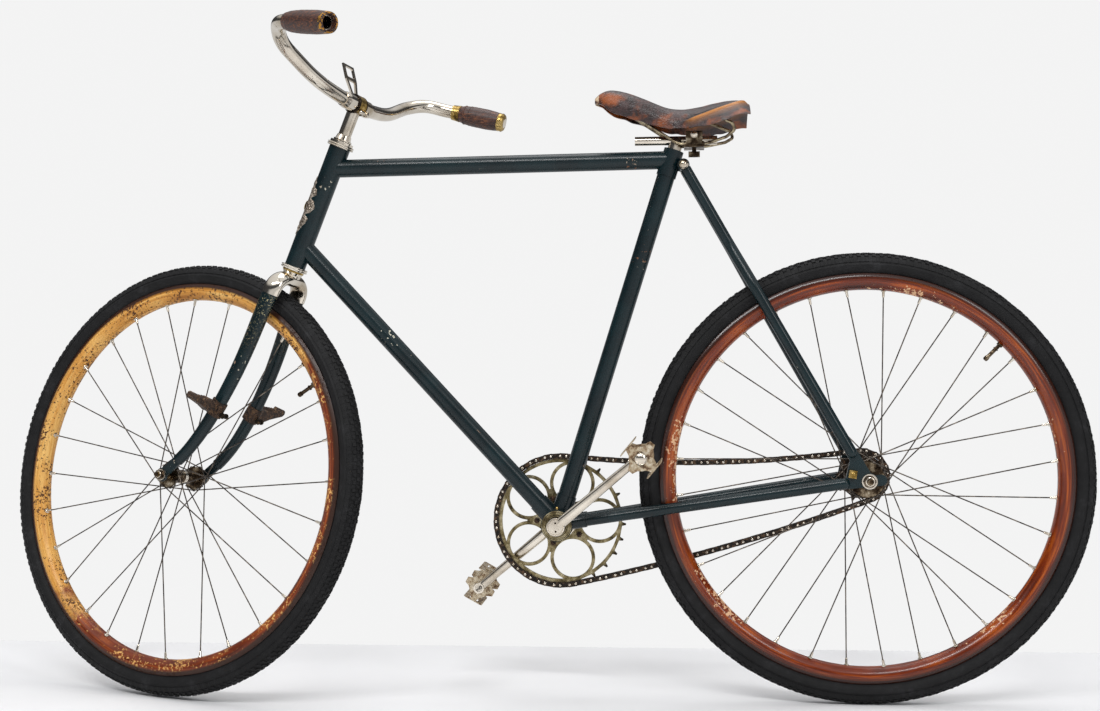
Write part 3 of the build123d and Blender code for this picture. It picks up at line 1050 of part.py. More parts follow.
# Points of the right wire, from the top of the saddle: fore and aft, sideways, up.
WIRE_NOSE = [(-158.0, 6.0, 20.0), (-156.0, 7.0, 3.0)]
WIRE_REAR = [(20.0, 34.0, -56.0), (33.0, 48.0, -47.0), (28.0, 50.0, -36.0), (-6.0, 48.0, -22.0)]
WIRE_LEVEL = (-25.0, 19.0)
WIRE_BENDS = [9.0, 30.0, 24.0, 12.0, 6.0, 6.0]
wire_run = WIRE_NOSE + [(to_clip.X + place, WIRE_AT_CLIP, to_clip.Z) for place in WIRE_LEVEL] + WIRE_REAR
wire = bent_rod([SADDLE_TOP + Vector(*point) for point in wire_run], WIRE_BENDS, WIRE_DIAMETER)
wire = (wire - leather).solids().sort_by(SortBy.VOLUME)[-1]
write("saddle_springs", Compound(children=[wire, mirrored(wire)]))

# Saddle clip: a block on the post arm, a plate that holds the wires to it, and a thumb bolt.
CLIP_WIDTH = 44.0
CLIP_ABOVE_ARM = 12.0
CLIP_PLATE = 5.0
CLIP_PLATE_LENGTH = 32.0
CLIP_SPLIT = 0.4
THUMB_BOLT_DIAMETER = 7.0
THUMB_HEAD = (18.0, 9.0, 5.0)
THUMB_DROP = 14.0
block_height = WIRE_BELOW_ARM + CLIP_ABOVE_ARM
block_box = Box(CLIP_LENGTH, CLIP_WIDTH, block_height)
plate_box = Box(CLIP_PLATE_LENGTH, CLIP_WIDTH, CLIP_PLATE)
clip_block = Pos(clip_x, 0, wire_z + CLIP_SPLIT + block_height / 2) * block_box
clip_plate = Pos(clip_x, 0, wire_z - CLIP_SPLIT - CLIP_PLATE / 2) * plate_box
clip_front, clip_back = clip_x - CLIP_LENGTH, clip_x + CLIP_LENGTH
clip_block -= rod((clip_front, 0, POST_ARM_Z), (clip_back, 0, POST_ARM_Z), POST_ARM_DIAMETER + 2 * SEAT_GAP)
for y in (-WIRE_AT_CLIP, WIRE_AT_CLIP):
    groove = rod((clip_front, y, wire_z), (clip_back, y, wire_z), WIRE_DIAMETER + 2 * SEAT_GAP)
    clip_block, clip_plate = clip_block - groove, clip_plate - groove
arm_underside = POST_ARM_Z - POST_ARM_DIAMETER / 2 - SEAT_GAP
bolt_foot = wire_z - CLIP_PLATE - THUMB_DROP
clip_plate -= rod((clip_x, 0, bolt_foot), (clip_x, 0, arm_underside), THUMB_BOLT_DIAMETER + 2 * SEAT_GAP)
thumb_bolt = rod((clip_x, 0, bolt_foot), (clip_x, 0, arm_underside), THUMB_BOLT_DIAMETER)
thumb_bolt += Pos(clip_x, 0, bolt_foot + THUMB_HEAD[1] / 2) * Box(*(THUMB_HEAD[i] for i in (0, 2, 1)))
write("saddle_clip", Compound(children=[clip_block, clip_plate, thumb_bolt]))

# Chain adjusters: a square block on the outside of each rear fork end, drilled for its screw.
ADJUSTER_SIZE = 12.0
ADJUSTER_THICKNESS = 8.0
ADJUSTER_HOLE = 4.5
ADJUSTER_HOLE_DEPTH = 4.0
ADJUSTER_AHEAD = 26.0
ADJUSTER_ABOVE = 11.5
ADJUSTER_TURN = 10.0
adjuster_y = rear_end_outer + BRAZE_GAP
block_face = Rectangle(ADJUSTER_SIZE, ADJUSTER_SIZE)
adjuster = slab(block_face, adjuster_y, adjuster_y + ADJUSTER_THICKNESS)
adjuster -= slab(Circle(ADJUSTER_HOLE / 2), adjuster_y + ADJUSTER_THICKNESS - ADJUSTER_HOLE_DEPTH,
                 adjuster_y + ADJUSTER_THICKNESS + 1)
adjuster = in_plane(adjuster, (REAR_AXLE.X - ADJUSTER_AHEAD, 0, REAR_AXLE.Z + ADJUSTER_ABOVE), -ADJUSTER_TURN)
write("chain_adjusters", Compound(children=[adjuster, mirrored(adjuster)]))
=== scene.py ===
import bmesh
import bpy
import json
from math import acos, atan2, cos, degrees, exp, pi, radians, sin
import random
from mathutils import Matrix, Vector, noise


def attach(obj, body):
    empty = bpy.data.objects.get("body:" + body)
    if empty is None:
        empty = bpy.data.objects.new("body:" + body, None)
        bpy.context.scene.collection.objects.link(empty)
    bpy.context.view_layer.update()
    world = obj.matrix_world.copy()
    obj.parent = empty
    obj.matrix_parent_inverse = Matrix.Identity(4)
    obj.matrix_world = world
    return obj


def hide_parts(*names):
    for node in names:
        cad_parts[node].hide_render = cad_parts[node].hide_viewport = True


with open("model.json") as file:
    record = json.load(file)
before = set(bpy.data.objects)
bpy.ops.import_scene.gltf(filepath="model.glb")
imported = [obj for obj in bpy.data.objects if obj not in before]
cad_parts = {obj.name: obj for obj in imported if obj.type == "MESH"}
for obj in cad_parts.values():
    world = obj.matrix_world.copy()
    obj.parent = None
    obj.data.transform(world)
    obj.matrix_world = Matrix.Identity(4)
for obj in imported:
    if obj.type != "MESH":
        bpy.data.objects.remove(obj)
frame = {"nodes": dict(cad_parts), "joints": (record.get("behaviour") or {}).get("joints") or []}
nodes = frame["nodes"]
joints = {joint["name"]: joint for joint in frame["joints"]}
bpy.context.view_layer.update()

# The studio: a pale painted plinth whose back edge is just behind the bicycle, soft lamps above
# and in front, and a camera at hip height on the rider's left, square to the frame.
FLOOR_Z, FLOOR_DEPTH = -0.948, 0.3
FLOOR_FRONT_Y, FLOOR_BACK_Y, FLOOR_HALF_WIDTH = -6.0, 0.43, 7.0
EDGE_RADIUS, EDGE_STEPS = 0.02, 8


def srgb(code):
    """A colour written as sRGB hex, as the linear RGBA that the shaders use."""
    parts = [int(code[i:i + 2], 16) / 255 for i in (1, 3, 5)]
    return tuple(p / 12.92 if p <= 0.04045 else ((p + 0.055) / 1.055) ** 2.4 for p in parts) + (1.0,)


def add(tree, kind, inputs=None, ramp=None, **settings):
    """Add a node, or set up one that is there; inputs are values, sockets or the nodes that feed it."""
    made = tree.nodes.new("ShaderNode" + kind) if isinstance(kind, str) else kind
    for name, value in settings.items():
        setattr(made, name, value)
    for name, value in (inputs or {}).items():
        if isinstance(value, bpy.types.Node):
            value = next(socket for socket in value.outputs if socket.enabled)
        if isinstance(value, bpy.types.NodeSocket):
            tree.links.new(value, made.inputs[name])
        else:
            made.inputs[name].default_value = value
    if ramp:
        stops = made.color_ramp.elements
        while len(stops) < len(ramp):
            stops.new(0.5)
        for stop, (place, colour) in zip(stops, ramp):
            stop.position = place
            stop.color = srgb(colour)
    return made


def mottled(name, grain_mm, detail, tones, constants=None, roughness=0.5, rub=None, relief=None):
    """A material in mottled tones. Its noise has a grain in millimetres; rub is (from, to, roughness
    there, roughness here) along the noise, and relief is (strength, depth in millimetres)."""
    made = bpy.data.materials.new(name)
    made.use_nodes = True
    tree = made.node_tree
    shader = tree.nodes["Principled BSDF"]
    place = add(tree, "TexCoord").outputs["Object"]
    grain = add(tree, "TexNoise", {"Vector": place, "Scale": 1000 / grain_mm, "Detail": detail,
                                   "Roughness": roughness})
    skin = add(tree, "ValToRGB", {"Fac": grain}, ramp=tones)
    add(tree, shader, {"Base Color": skin, **(constants or {})})
    if rub:
        add(tree, shader, {"Roughness": add(tree, "MapRange", {
            "Value": grain, "From Min": rub[0], "From Max": rub[1], "To Min": rub[2], "To Max": rub[3]})})
    if relief:
        add(tree, shader, {"Normal": add(tree, "Bump", {
            "Height": grain, "Strength": relief[0], "Distance": relief[1] / 1000})})
    return made, tree, shader, place, grain, skin


def spots(tree, place, fine, zone, low, high, more=None):
    """Spots in zones: a fine and a wide noise, each (grain in millimetres, detail, roughness), added
    together and cut off between two levels; more is a further part of the sum."""
    total, wide = (add(tree, "TexNoise", {"Vector": place, "Scale": 1000 / grain_mm, "Detail": detail,
                                          "Roughness": roughness}) for grain_mm, detail, roughness in (fine, zone))
    for part in (wide, more) if more else (wide,):
        total = add(tree, "Math", {0: total, 1: part}, operation="ADD")
    return add(tree, "MapRange", {"Value": total, "From Min": low, "From Max": high})


def mesh_piece(name, points, faces, material, crease=40):
    """A new mesh object of one material, smooth but for edges sharper than the crease."""
    mesh = bpy.data.meshes.new(name)
    mesh.from_pydata(points, [], faces)
    mesh.polygons.foreach_set("use_smooth", [True] * len(mesh.polygons))
    mesh.set_sharp_from_angle(angle=radians(crease))
    mesh.materials.append(material)
    made = bpy.data.objects.new(name, mesh)
    bpy.context.scene.collection.objects.link(made)
    return made


# Matt emulsion paint on the plinth: even, with no shine, so it only gives soft light back.
paint, *_ = mottled("matt_emulsion_paint", 1000 / 3, 3.0, [(0.3, "#E9E9EA"), (0.7, "#EFEFF0")],
                    {"Roughness": 0.9, "Specular IOR Level": 0.1})
profile = [(FLOOR_FRONT_Y, FLOOR_Z - FLOOR_DEPTH), (FLOOR_FRONT_Y, FLOOR_Z)]
for step in range(EDGE_STEPS + 1):
    turn = radians(step * 90 / EDGE_STEPS)
    profile.append((FLOOR_BACK_Y + EDGE_RADIUS * sin(turn), FLOOR_Z - EDGE_RADIUS * (1 - cos(turn))))
profile.append((FLOOR_BACK_Y + EDGE_RADIUS, FLOOR_Z - FLOOR_DEPTH))
floor_points = [(x, y, z) for y, z in profile for x in (-FLOOR_HALF_WIDTH, FLOOR_HALF_WIDTH)]
floor_faces = [(2 * i, 2 * i + 1, 2 * i + 3, 2 * i + 2) for i in range(len(profile) - 1)]
mesh_piece("plinth_floor", floor_points, floor_faces, paint)

# The room's own light: pale near the floor and overhead, with a dimmer band of wall between, which
# draws the dark lines that plated tubes show. The camera itself sees an even white wall.
world = bpy.data.worlds.new("studio")
bpy.context.scene.world = world
world.use_nodes = True
room = world.node_tree
heading = add(room, "SeparateXYZ", {0: add(room, "TexCoord").outputs["Generated"]})
walls = add(room, "ValToRGB", {"Fac": heading.outputs["Z"]},
            ramp=[(0.0, "#E9EAEC"), (0.16, "#E4E5E8"), (0.24, "#3C3D40"), (0.46, "#4A4B4E"),
                  (0.6, "#F0F1F3"), (1.0, "#FBFBFC")])
wall_or_room = add(room, "Mix", {"Factor": add(room, "LightPath").outputs["Is Camera Ray"], 6: walls,
                                 7: srgb("#FFFFFF")}, data_type="RGBA")
add(room, room.nodes["Background"], {"Color": wall_or_room, "Strength": 0.9})
bpy.context.scene.view_settings.view_transform = "Standard"

# Lamps: each a softbox with its place, the point that it faces, its width and height, and its power.
for name, place, target, size, power in (
        ("key_softbox", (-0.9, -2.5, 2.1), (-0.3, 0, -0.45), (3.2, 0.35), 70),
        ("fill_softbox", (2.2, -2.4, 1.0), (-0.2, 0, -0.5), (0.6, 1.6), 22),
        ("top_softbox", (-0.2, 0.4, 2.4), (-0.2, 0, -0.5), (1.6, 1.6), 26)):
    lamp = bpy.data.lights.new(name, "AREA")
    lamp.shape, lamp.energy = "RECTANGLE", power
    lamp.size, lamp.size_y = size
    softbox = bpy.data.objects.new(name, lamp)
    softbox.location = place
    softbox.rotation_euler = (Vector(target) - Vector(place)).to_track_quat("-Z", "Y").to_euler()
    bpy.context.scene.collection.objects.link(softbox)

# The camera's place, its yaw and pitch, and its lens were found from both wheels in the photograph.
CAMERA_PLACE = Vector((-0.0491, -2.4497, -0.386))
YAW, PITCH, ROLL = 0.0865208, -0.0043542, -0.0055399
camera_data = bpy.data.cameras.new("camera")
camera_data.sensor_width = 36.0
camera_data.lens = 50.242
camera = bpy.data.objects.new("camera", camera_data)
forward = Vector((-sin(YAW) * cos(PITCH), cos(YAW) * cos(PITCH), sin(PITCH)))
level = Vector((cos(YAW), sin(YAW), 0))
upright = level.cross(forward)
right = level * cos(ROLL) + upright * sin(ROLL)
above = upright * cos(ROLL) - level * sin(ROLL)
camera.matrix_world = Matrix.Translation(CAMERA_PLACE) @ Matrix((right, above, -forward)).transposed().to_4x4()
bpy.context.scene.collection.objects.link(camera)
bpy.context.scene.camera = camera

# The frame: brazed steel tubes under stoved enamel, a very dark blue-green. The enamel is dipped
# and baked, and a century of knocks has left small pale chips and fine scratches in it.
# Stoved enamel: a deep even colour under its own gloss, which gives long soft reflections; its
# chips are matt and show primer or brown rust.
enamel, tree, shader, place, cloud, body_tone = mottled(
    "stoved_enamel", 50, 4.0, [(0.35, "#06161A"), (0.65, "#0A2024")], {"Specular IOR Level": 0.36})
chips = spots(tree, place, (6, 3.0, 0.5), (70, 1.0, 0.5), 1.33, 1.35)
# Scratches: thin lines about 0.3 mm wide where a stretched pattern crosses a level.
long_way = add(tree, "Mapping", {"Vector": place, "Rotation": (0.3, 0.9, 0.2), "Scale": (30, 400, 60)})
scratch = add(tree, "TexNoise", {"Vector": long_way, "Scale": 1.0, "Detail": 2.0})
line = add(tree, "MapRange", {"Value": scratch, "From Min": 0.76, "From Max": 0.78})
marks = add(tree, "Math", {0: chips, 1: line}, operation="MAXIMUM")
chip_kind = add(tree, "ValToRGB", {"Fac": cloud}, ramp=[(0.4, "#6B4A36"), (0.5, "#B9B5A4")])
surface = add(tree, "Mix", {"Factor": marks, 6: body_tone, 7: chip_kind}, data_type="RGBA")
rub = add(tree, "TexNoise", {"Vector": place, "Scale": 1 / 0.015, "Detail": 5.0})
gloss = add(tree, "MapRange", {"Value": rub, "To Min": 0.22, "To Max": 0.32})
dull = add(tree, "Math", {0: gloss, 1: marks}, operation="MAXIMUM")
relief = add(tree, "Bump", {"Height": marks, "Strength": 0.5, "Distance": 0.0003}, invert=True)
add(tree, shader, {"Base Color": surface, "Roughness": dull, "Normal": relief})


def finish_nodes(material, *names):
    """Give CAD nodes their material."""
    for name in names:
        nodes[name].data.materials.clear()
        nodes[name].data.materials.append(material)


finish_nodes(enamel, "head_tube", "top_tube", "down_tube", "seat_tube", "seat_lug", "bottom_bracket_shell",
             "chain_stay_left", "chain_stay_right", "seat_stay_left", "seat_stay_right", "rear_fork_ends",
             "front_fork_ends")

# Where things are: the head tube's foot and axis, the three axles, and the turn of the front end.
# Pieces drawn in a local frame are put in place by these.
MM = 0.001
STEER_TURN = radians(-23.8)
head_foot = Vector(joints["steering"]["pos_m"])
head_axis = Vector(joints["steering"]["axis"])
head_forward = Vector((-head_axis.z, 0, head_axis.x))
head_place = Matrix.Translation(head_foot) @ Matrix(
    (head_forward, head_axis.cross(head_forward), head_axis)).transposed().to_4x4()
turn_front = (Matrix.Translation(head_foot) @ Matrix.Rotation(STEER_TURN, 4, head_axis)
              @ Matrix.Translation(-head_foot))
front_end = turn_front @ head_place
rear_axle = Matrix.Translation(joints["rear_wheel_spin"]["pos_m"])
crank_axle = Matrix.Translation(joints["crank_spin"]["pos_m"])
front_axle = Matrix.Translation(joints["front_wheel_spin"]["pos_m"]) @ Matrix.Rotation(STEER_TURN, 4, head_axis)


def shift(x, y, z):
    """A shift in millimetres."""
    return Matrix.Translation((x * MM, y * MM, z * MM))


def about_y(angle):
    """Turn a place on +X upwards about the axle, as the wheels' angles are counted."""
    return Matrix.Rotation(radians(-angle), 4, "Y")


def facing(direction):
    """The turn that sets +Z along a direction."""
    return Vector(direction).to_track_quat("Z", "Y").to_matrix().to_4x4()


def both_sides(shapes, place, x, out, z):
    """Shapes and their places on either side of the middle plane, facing outwards."""
    return [(shape, place @ shift(x, side * out, z) @ facing((0, side, 0))) for side in (-1, 1) for shape in shapes]


def net(rows, wide, round_rows=False, round_wide=False):
    """Faces between rows of points, where the last row or the last point may join the first."""
    return [(row * wide + k, after * wide + k, after * wide + beside, row * wide + beside)
            for row, after in ((i, (i + 1) % rows) for i in range(rows - (not round_rows)))
            for k, beside in ((j, (j + 1) % wide) for j in range(wide - (not round_wide)))]


def turned(profile, steps=32):
    """Points and faces of a profile of (radius, height) in millimetres, turned about +Z."""
    points = []
    for i in range(steps):
        turn = 2 * pi * i / steps
        points += [(r * MM * cos(turn), r * MM * sin(turn), h * MM) for r, h in profile]
    return points, net(steps, len(profile), round_rows=True)


def placed(name, shapes, material, body, crease=40):
    """One piece of many like shapes, each (points, faces) with its own place, riding on a body."""
    points, faces = [], []
    for (own_points, own_faces), matrix in shapes:
        base = len(points)
        points += [matrix @ Vector(point) for point in own_points]
        faces += [tuple(base + corner for corner in face) for face in own_faces]
    made = mesh_piece(name, points, faces, material, crease)
    weld = bmesh.new()
    weld.from_mesh(made.data)
    bmesh.ops.remove_doubles(weld, verts=weld.verts, dist=1e-6)
    bmesh.ops.recalc_face_normals(weld, faces=weld.faces)
    weld.to_mesh(made.data)
    weld.free()
    made.data.set_sharp_from_angle(angle=radians(crease))
    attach(made, body)
    return made


# Head badge: a thin stamped plate round the front of the head tube, silvered, with a brass
# medallion in the middle and scrolls above and below. It is blank: scrolls and a plain boss only.
BADGE_UP, BADGE_FACE = 99.5, 18.15
# Stamped nickel silver: grey and matt in its hollows, bright on the raised lines.
badge_metal, *_ = mottled("stamped_nickel_silver", 3, 4.0,
                          [(0.38, "#5F5449"), (0.52, "#A5988A"), (0.68, "#D6CDBF")],
                          {"Metallic": 0.9, "Roughness": 0.42}, relief=(0.5, 0.4))
finish_nodes(badge_metal, "head_badge")


def bead(line, radius, sides=8):
    """Points and faces of a round bead that follows a line of points in millimetres."""
    points, last = [], len(line) - 1
    for i, here in enumerate(line):
        along = facing((Vector(line[min(i + 1, last)]) - Vector(line[max(i - 1, 0)])).normalized())
        size = radius * (0.35 if i in (0, last) else 1.0)
        for k in range(sides):
            angle = 2 * pi * k / sides
            points.append((Vector(here) + along @ Vector((size * cos(angle), size * sin(angle), 0))) * MM)
    ends = [tuple(range(sides))[::-1], tuple(last * sides + k for k in range(sides))]
    return points, net(len(line), sides, round_wide=True) + ends


# The plate: its half width at each height, both in millimetres, wrapped round the tube.
PLATE_EDGE = [(-50, 1.5), (-46, 9.0), (-40, 15.0), (-34, 18.0), (-28, 22.5), (-21, 24.5), (-14, 15.0), (-8, 25.0),
              (0, 29.0), (8, 25.0), (14, 15.0), (21, 24.0), (28, 22.0), (34, 12.0), (39, 14.0), (45, 9.0), (50, 1.5)]
ROWS_UP, ACROSS_PLATE = 80, 16
PLATE_RADIUS, PLATE_BULGE, PLATE_RIPPLE = 17.05, 1.15, 0.25
plate_points = []
for i in range(ROWS_UP + 1):
    up = -50 + 100 * i / ROWS_UP
    k = max(j for j, (h, _) in enumerate(PLATE_EDGE[:-1]) if h <= up)
    (h0, w0), (h1, w1) = PLATE_EDGE[k], PLATE_EDGE[k + 1]
    half = w0 + (w1 - w0) * (0.5 - 0.5 * cos(pi * (up - h0) / (h1 - h0)))
    for j in range(ACROSS_PLATE + 1):
        share = 2 * j / ACROSS_PLATE - 1
        reach = (PLATE_RADIUS + PLATE_BULGE * (1 - abs(share) ** 6)
                 + PLATE_RIPPLE * cos(share * 9) * (1 - abs(share)))
        bend = share * half / BADGE_FACE
        plate_points.append((reach * cos(bend) * MM, reach * sin(bend) * MM, (BADGE_UP + up) * MM))
placed("badge_plate", [((plate_points, net(ROWS_UP + 1, ACROSS_PLATE + 1)), head_place)], badge_metal, "frame")
# Scrolls in pairs, a left and a right one: height, distance from the middle, and the right one's hand.
SCROLLS = [(22.0, 17.0, 1), (27.0, 8.0, -1), (-21.0, 17.5, 1), (-29.0, 8.0, -1), (39.0, 5.0, 1), (-38.0, 8.0, -1),
           (3.5, 21.5, 1), (-5.0, 20.0, -1), (2.0, 12.0, -1)]
SCROLL_STEPS, SCROLL_TURNS = 25, 1.55
scroll_beads = []
for up, apart, way in SCROLLS:
    size = 4.6 if abs(up) < 25 else 3.4
    for aside, hand in ((apart, way), (-apart, -way)):
        line = []
        for step in range(SCROLL_STEPS + 1):
            turn = step / SCROLL_STEPS * SCROLL_TURNS * 2 * pi
            reach = size * (1 - 0.62 * step / SCROLL_STEPS)
            bend = (aside + hand * reach * cos(turn)) / BADGE_FACE
            line.append(((BADGE_FACE + 0.1) * cos(bend), (BADGE_FACE + 0.1) * sin(bend),
                         BADGE_UP + up + reach * sin(turn)))
        scroll_beads.append((bead(line, 0.55, 6), head_place))
placed("badge_scrolls", scroll_beads, badge_metal, "frame")

# Rubbed brass: warm yellow where hands polish it, brown in the hollows and along the edges.
brass, *_ = mottled("rubbed_brass", 12, 5.0, [(0.33, "#43331A"), (0.46, "#8A7038"), (0.64, "#BFA469")],
                    {"Metallic": 1.0}, rub=(0.3, 0.7, 0.5, 0.2))
medal_place = head_place @ shift(BADGE_FACE, 0, BADGE_UP) @ facing((1, 0, 0))
medal = [turned([(0, 1.6), (3.0, 1.5), (5.2, 1.0), (5.6, 0.3), (6.6, 0.9), (7.6, 0.9), (8.0, 0.0)], 36)]
for petal in range(10):
    turn = pi * petal / 5
    medal.append(bead([(cos(turn) * 6.2 * r, sin(turn) * 6.2 * r, 1.5 - 0.5 * r) for r in (0.35, 0.6, 0.85)],
                      0.5, 6))
placed("badge_medallion", [(shape, medal_place) for shape in medal], brass, "frame")

# Plated parts: bars, stem, crown, cups, cranks and seat post are steel under polished nickel. It
# is warm and bright, slightly cloudy, with small brown pin-holes where rust has come through.
nickel, tree, shader, place, bloom, skin = mottled(
    "polished_nickel_plate", 45, 5.0, [(0.3, "#A89A84"), (0.46, "#CDC3B4"), (0.66, "#E2DACC")], {"Metallic": 1.0})
pits = spots(tree, place, (2.2, 2.0, 0.5), (30, 1.0, 0.5), 1.36, 1.42)
worn = add(tree, "Mix", {"Factor": pits, 6: skin, 7: srgb("#54402E")}, data_type="RGBA")
polish = add(tree, "MapRange", {"Value": bloom, "From Min": 0.35, "From Max": 0.65, "To Min": 0.2, "To Max": 0.1})
matt = add(tree, "Math", {0: polish, 1: pits}, operation="MAXIMUM")
relief = add(tree, "Bump", {"Height": pits, "Strength": 0.3, "Distance": 0.0001}, invert=True)
add(tree, shader, {"Base Color": worn, "Roughness": matt, "Normal": relief})
finish_nodes(nickel, "head_cups", "seat_bolt", "seat_post", "fork_crown", "steerer", "head_locknut", "stem",
             "handlebar", "lamp_bracket", "crank_axle", "crank_spider")
finish_nodes(brass, "chain_adjusters", "bar_clamp", "grip_fittings")

# Headset trim: each cup has rolled beads on its edges, the lower cup sits on a brass-coloured crown
# race whose plate has worn through, and the locknut has a turned grip. All are turned steel.
HEAD_LENGTH = 205.5
cup_bead = turned([(20.6, -1.2), (21.6, -1.0), (22.1, 0.0), (21.6, 1.0), (20.6, 1.2)], 48)
bead_heights = (-1.6, -4.8, HEAD_LENGTH + 1.6, HEAD_LENGTH + 4.8)
placed("cup_beads", [(cup_bead, head_place @ shift(0, 0, h)) for h in bead_heights], nickel, "frame")
race = turned([(17.0, -6.4), (17.5, -6.6), (17.5, -8.6), (17.2, -9.6), (16.0, -10.6), (15.0, -13.0)], 48)
placed("crown_race", [(race, front_end)], brass, "steering")
nut_grip = turned([(14.4, 0), (15.2, 0.5), (15.2, 2.2), (14.2, 2.8)], 48)
placed("locknut_bead", [(nut_grip, front_end @ shift(0, 0, HEAD_LENGTH + 11.0))], nickel, "steering")

# Bar clamp trim: a blackened steel band on either side of the brass one, and the clamp's pinch bolt
# with its hexagon nut behind the stem.
# Blackened steel: near black, faintly warm, dull with a low shine on its edges. The cranks also use it for painted
# shade.
black_steel_and_shade, *_ = mottled("blackened_steel_and_painted_shade", 4, 4.0, [(0.35, "#17130F"), (0.55, "#2C251E"), (0.72, "#6A5236")],
                         {"Metallic": 0.85, "Roughness": 0.45}, relief=(0.4, 0.3))
BAR_UP, BAND_OUT = 279.7, 9.6
bar_place = front_end @ shift(0, 0, BAR_UP)
across = facing((0, 1, 0))
band = turned([(13.8, -1.2), (15.9, -1.2), (16.3, 0), (15.9, 1.2), (13.8, 1.2)], 48)
placed("clamp_side_bands", [(band, bar_place @ across @ shift(0, 0, side * BAND_OUT)) for side in (-1, 1)],
       black_steel_and_shade, "steering")


def hexagon_nut(across_flats, height, bore):
    """Points and faces of a hexagon nut with a rounded crown, standing on its seat."""
    radius, sides = across_flats / 2 / cos(pi / 6), 24
    rings = [(bore, 0.0, 0), (radius, 0.0, 1), (radius, height * 0.78, 1), (across_flats / 2 * 0.93, height, 0),
             (bore, height, 0)]
    points = []
    for i in range(sides):
        turn = 2 * pi * i / sides
        flat = cos(pi / 6) / cos(turn % (pi / 3) - pi / 6)
        for r, h, is_hex in rings:
            own = r * (flat if is_hex else 1.0)
            points.append((own * MM * cos(turn), own * MM * sin(turn), h * MM))
    return points, net(sides, len(rings), round_rows=True)


bolt_end = turned([(0, 2.4), (2.0, 2.2), (2.9, 1.4), (3.0, -12.0), (0, -12.0)], 20)
pinch = bar_place @ shift(-18.5, 0, -9) @ across
placed("clamp_bolt", [(bolt_end, pinch @ shift(0, 0, 6)), (hexagon_nut(9.5, 4.5, 2.9), pinch @ shift(0, 0, -10))],
       nickel, "steering")

# Grips: pressed wood-pulp handles, turned barrel-shaped, stained brown and polished by hands. The
# left one has a worn gilded rim at its mouth, the right one a nickelled disc in its brass cap.
# Stained wood pulp: brown with darker streaks that run along the handle, a dull polish on top. The
# pattern, in metres, is drawn out to 25 mm along the handle and 2.4 mm across it.
grip_wood, tree, shader, place, streak, _ = mottled(
    "stained_wood_pulp", 1000, 6.0, [(0.3, "#1C0F0B"), (0.48, "#3A2019"), (0.6, "#532F20"), (0.74, "#8A5428")],
    rub=(0, 1, 0.34, 0.6), relief=(0.35, 0.4))
add(tree, streak, {"Vector": add(tree, "Mapping", {
    "Vector": place, "Rotation": (0, radians(9), radians(-38)), "Scale": (40, 420, 420)})})
finish_nodes(grip_wood, "grip_left", "grip_right")
# The last corners of the bar, from its middle: forward, to the side and up.
BAR_LAST = [Vector((-23.2, 235.6, 56.3)), Vector((-123.7, 261.7, 31.9))]
GRIP_LENGTH = 91.0
bar_middle = head_foot + head_axis * BAR_UP * MM
grip_places = {}
for hand, side in (("right", 1), ("left", -1)):
    near, far = (bar_middle + Vector((-p.x, side * p.y, p.z)) * MM for p in BAR_LAST)
    grip_places[hand] = turn_front @ Matrix.Translation(far) @ facing(far - near)
# Worn gilding: gold in flakes over the brown stain of the handle.
gilt, tree, shader, _, flake, _ = mottled("worn_gilding", 4, 5.0, [(0.5, "#2A1710"), (0.54, "#C8923F")],
                                          {"Roughness": 0.38})
add(tree, shader, {"Metallic": add(tree, "MapRange", {"Value": flake, "From Min": 0.5, "From Max": 0.54})})
mouth_rim = turned([(12.6, 2.0), (12.45, 7.6), (13.2, 8.1), (15.0, 8.15), (15.65, 7.6), (15.8, 6.0), (16.2, 3.0),
                    (16.5, -0.6), (16.2, -1.2)], 48)
placed("grip_mouth_ring", [(mouth_rim, grip_places["left"])], gilt, "steering")
cap_rings = [turned([(15.6, h - 0.7), (16.0, h), (15.6, h + 0.7)], 48) for h in (-5.2, 0.4)]
ferrule_rings = [turned([(r - 0.5, h - 0.8), (r + 0.2, h), (r - 0.5, h + 0.8)], 48)
                 for r, h in ((13.3, 4.4 - GRIP_LENGTH), (14.3, 13.2 - GRIP_LENGTH))]
placed("grip_cap_rings", [(shape, grip_places["right"]) for shape in cap_rings + ferrule_rings], brass,
       "steering")
end_disc = turned([(0, 5.7), (6.0, 5.6), (8.2, 5.3), (8.9, 4.6)], 40)
placed("grip_end_disc", [(end_disc, grip_places["right"])], nickel, "steering")
# Turned grooves round the handles: fine raised hoops, worn nearly flat.
hoops = [turned([(r - 0.25, d - 0.9), (r + 0.12, d), (r - 0.25, d + 0.9)], 40)
         for r, d in ((16.65, -68.0), (17.15, -58.0), (17.4, -44.0), (17.45, -32.0), (17.0, -20.0))]
placed("grip_hoops", [(shape, grip_places[hand]) for hand in ("left", "right") for shape in hoops], grip_wood,
       "steering")

# Fork blades: oval taper-gauge tubes in the frame's enamel. Below the crown they carry a worn gold
# transfer of leafy scrolls, rubbed thin towards its foot.
LINE_TOP, LINE_FOOT = head_foot.z - 0.055, head_foot.z - 0.150
gilt_enamel = enamel.copy()
gilt_enamel.name = "enamel_with_worn_gold_transfer"
tree = gilt_enamel.node_tree
shader = tree.nodes["Principled BSDF"]
place = add(tree, "TexCoord").outputs["Object"]
height = add(tree, "SeparateXYZ", {0: place}).outputs["Z"]
fade = add(tree, "MapRange", {"Value": height, "From Min": LINE_FOOT, "From Max": LINE_TOP})
below = add(tree, "MapRange", {"Value": height, "From Min": LINE_TOP + 0.01, "From Max": LINE_TOP + 0.006})
swirl = add(tree, "TexNoise", {"Vector": place, "Scale": 1 / 0.011, "Detail": 1.0, "Distortion": 2.5})
ridge = add(tree, "Math", {0: add(tree, "Math", {0: swirl, 1: 0.5}, operation="SUBTRACT")}, operation="ABSOLUTE")
gold = add(tree, "MapRange", {"Value": ridge, "From Min": 0.02, "From Max": 0.008})
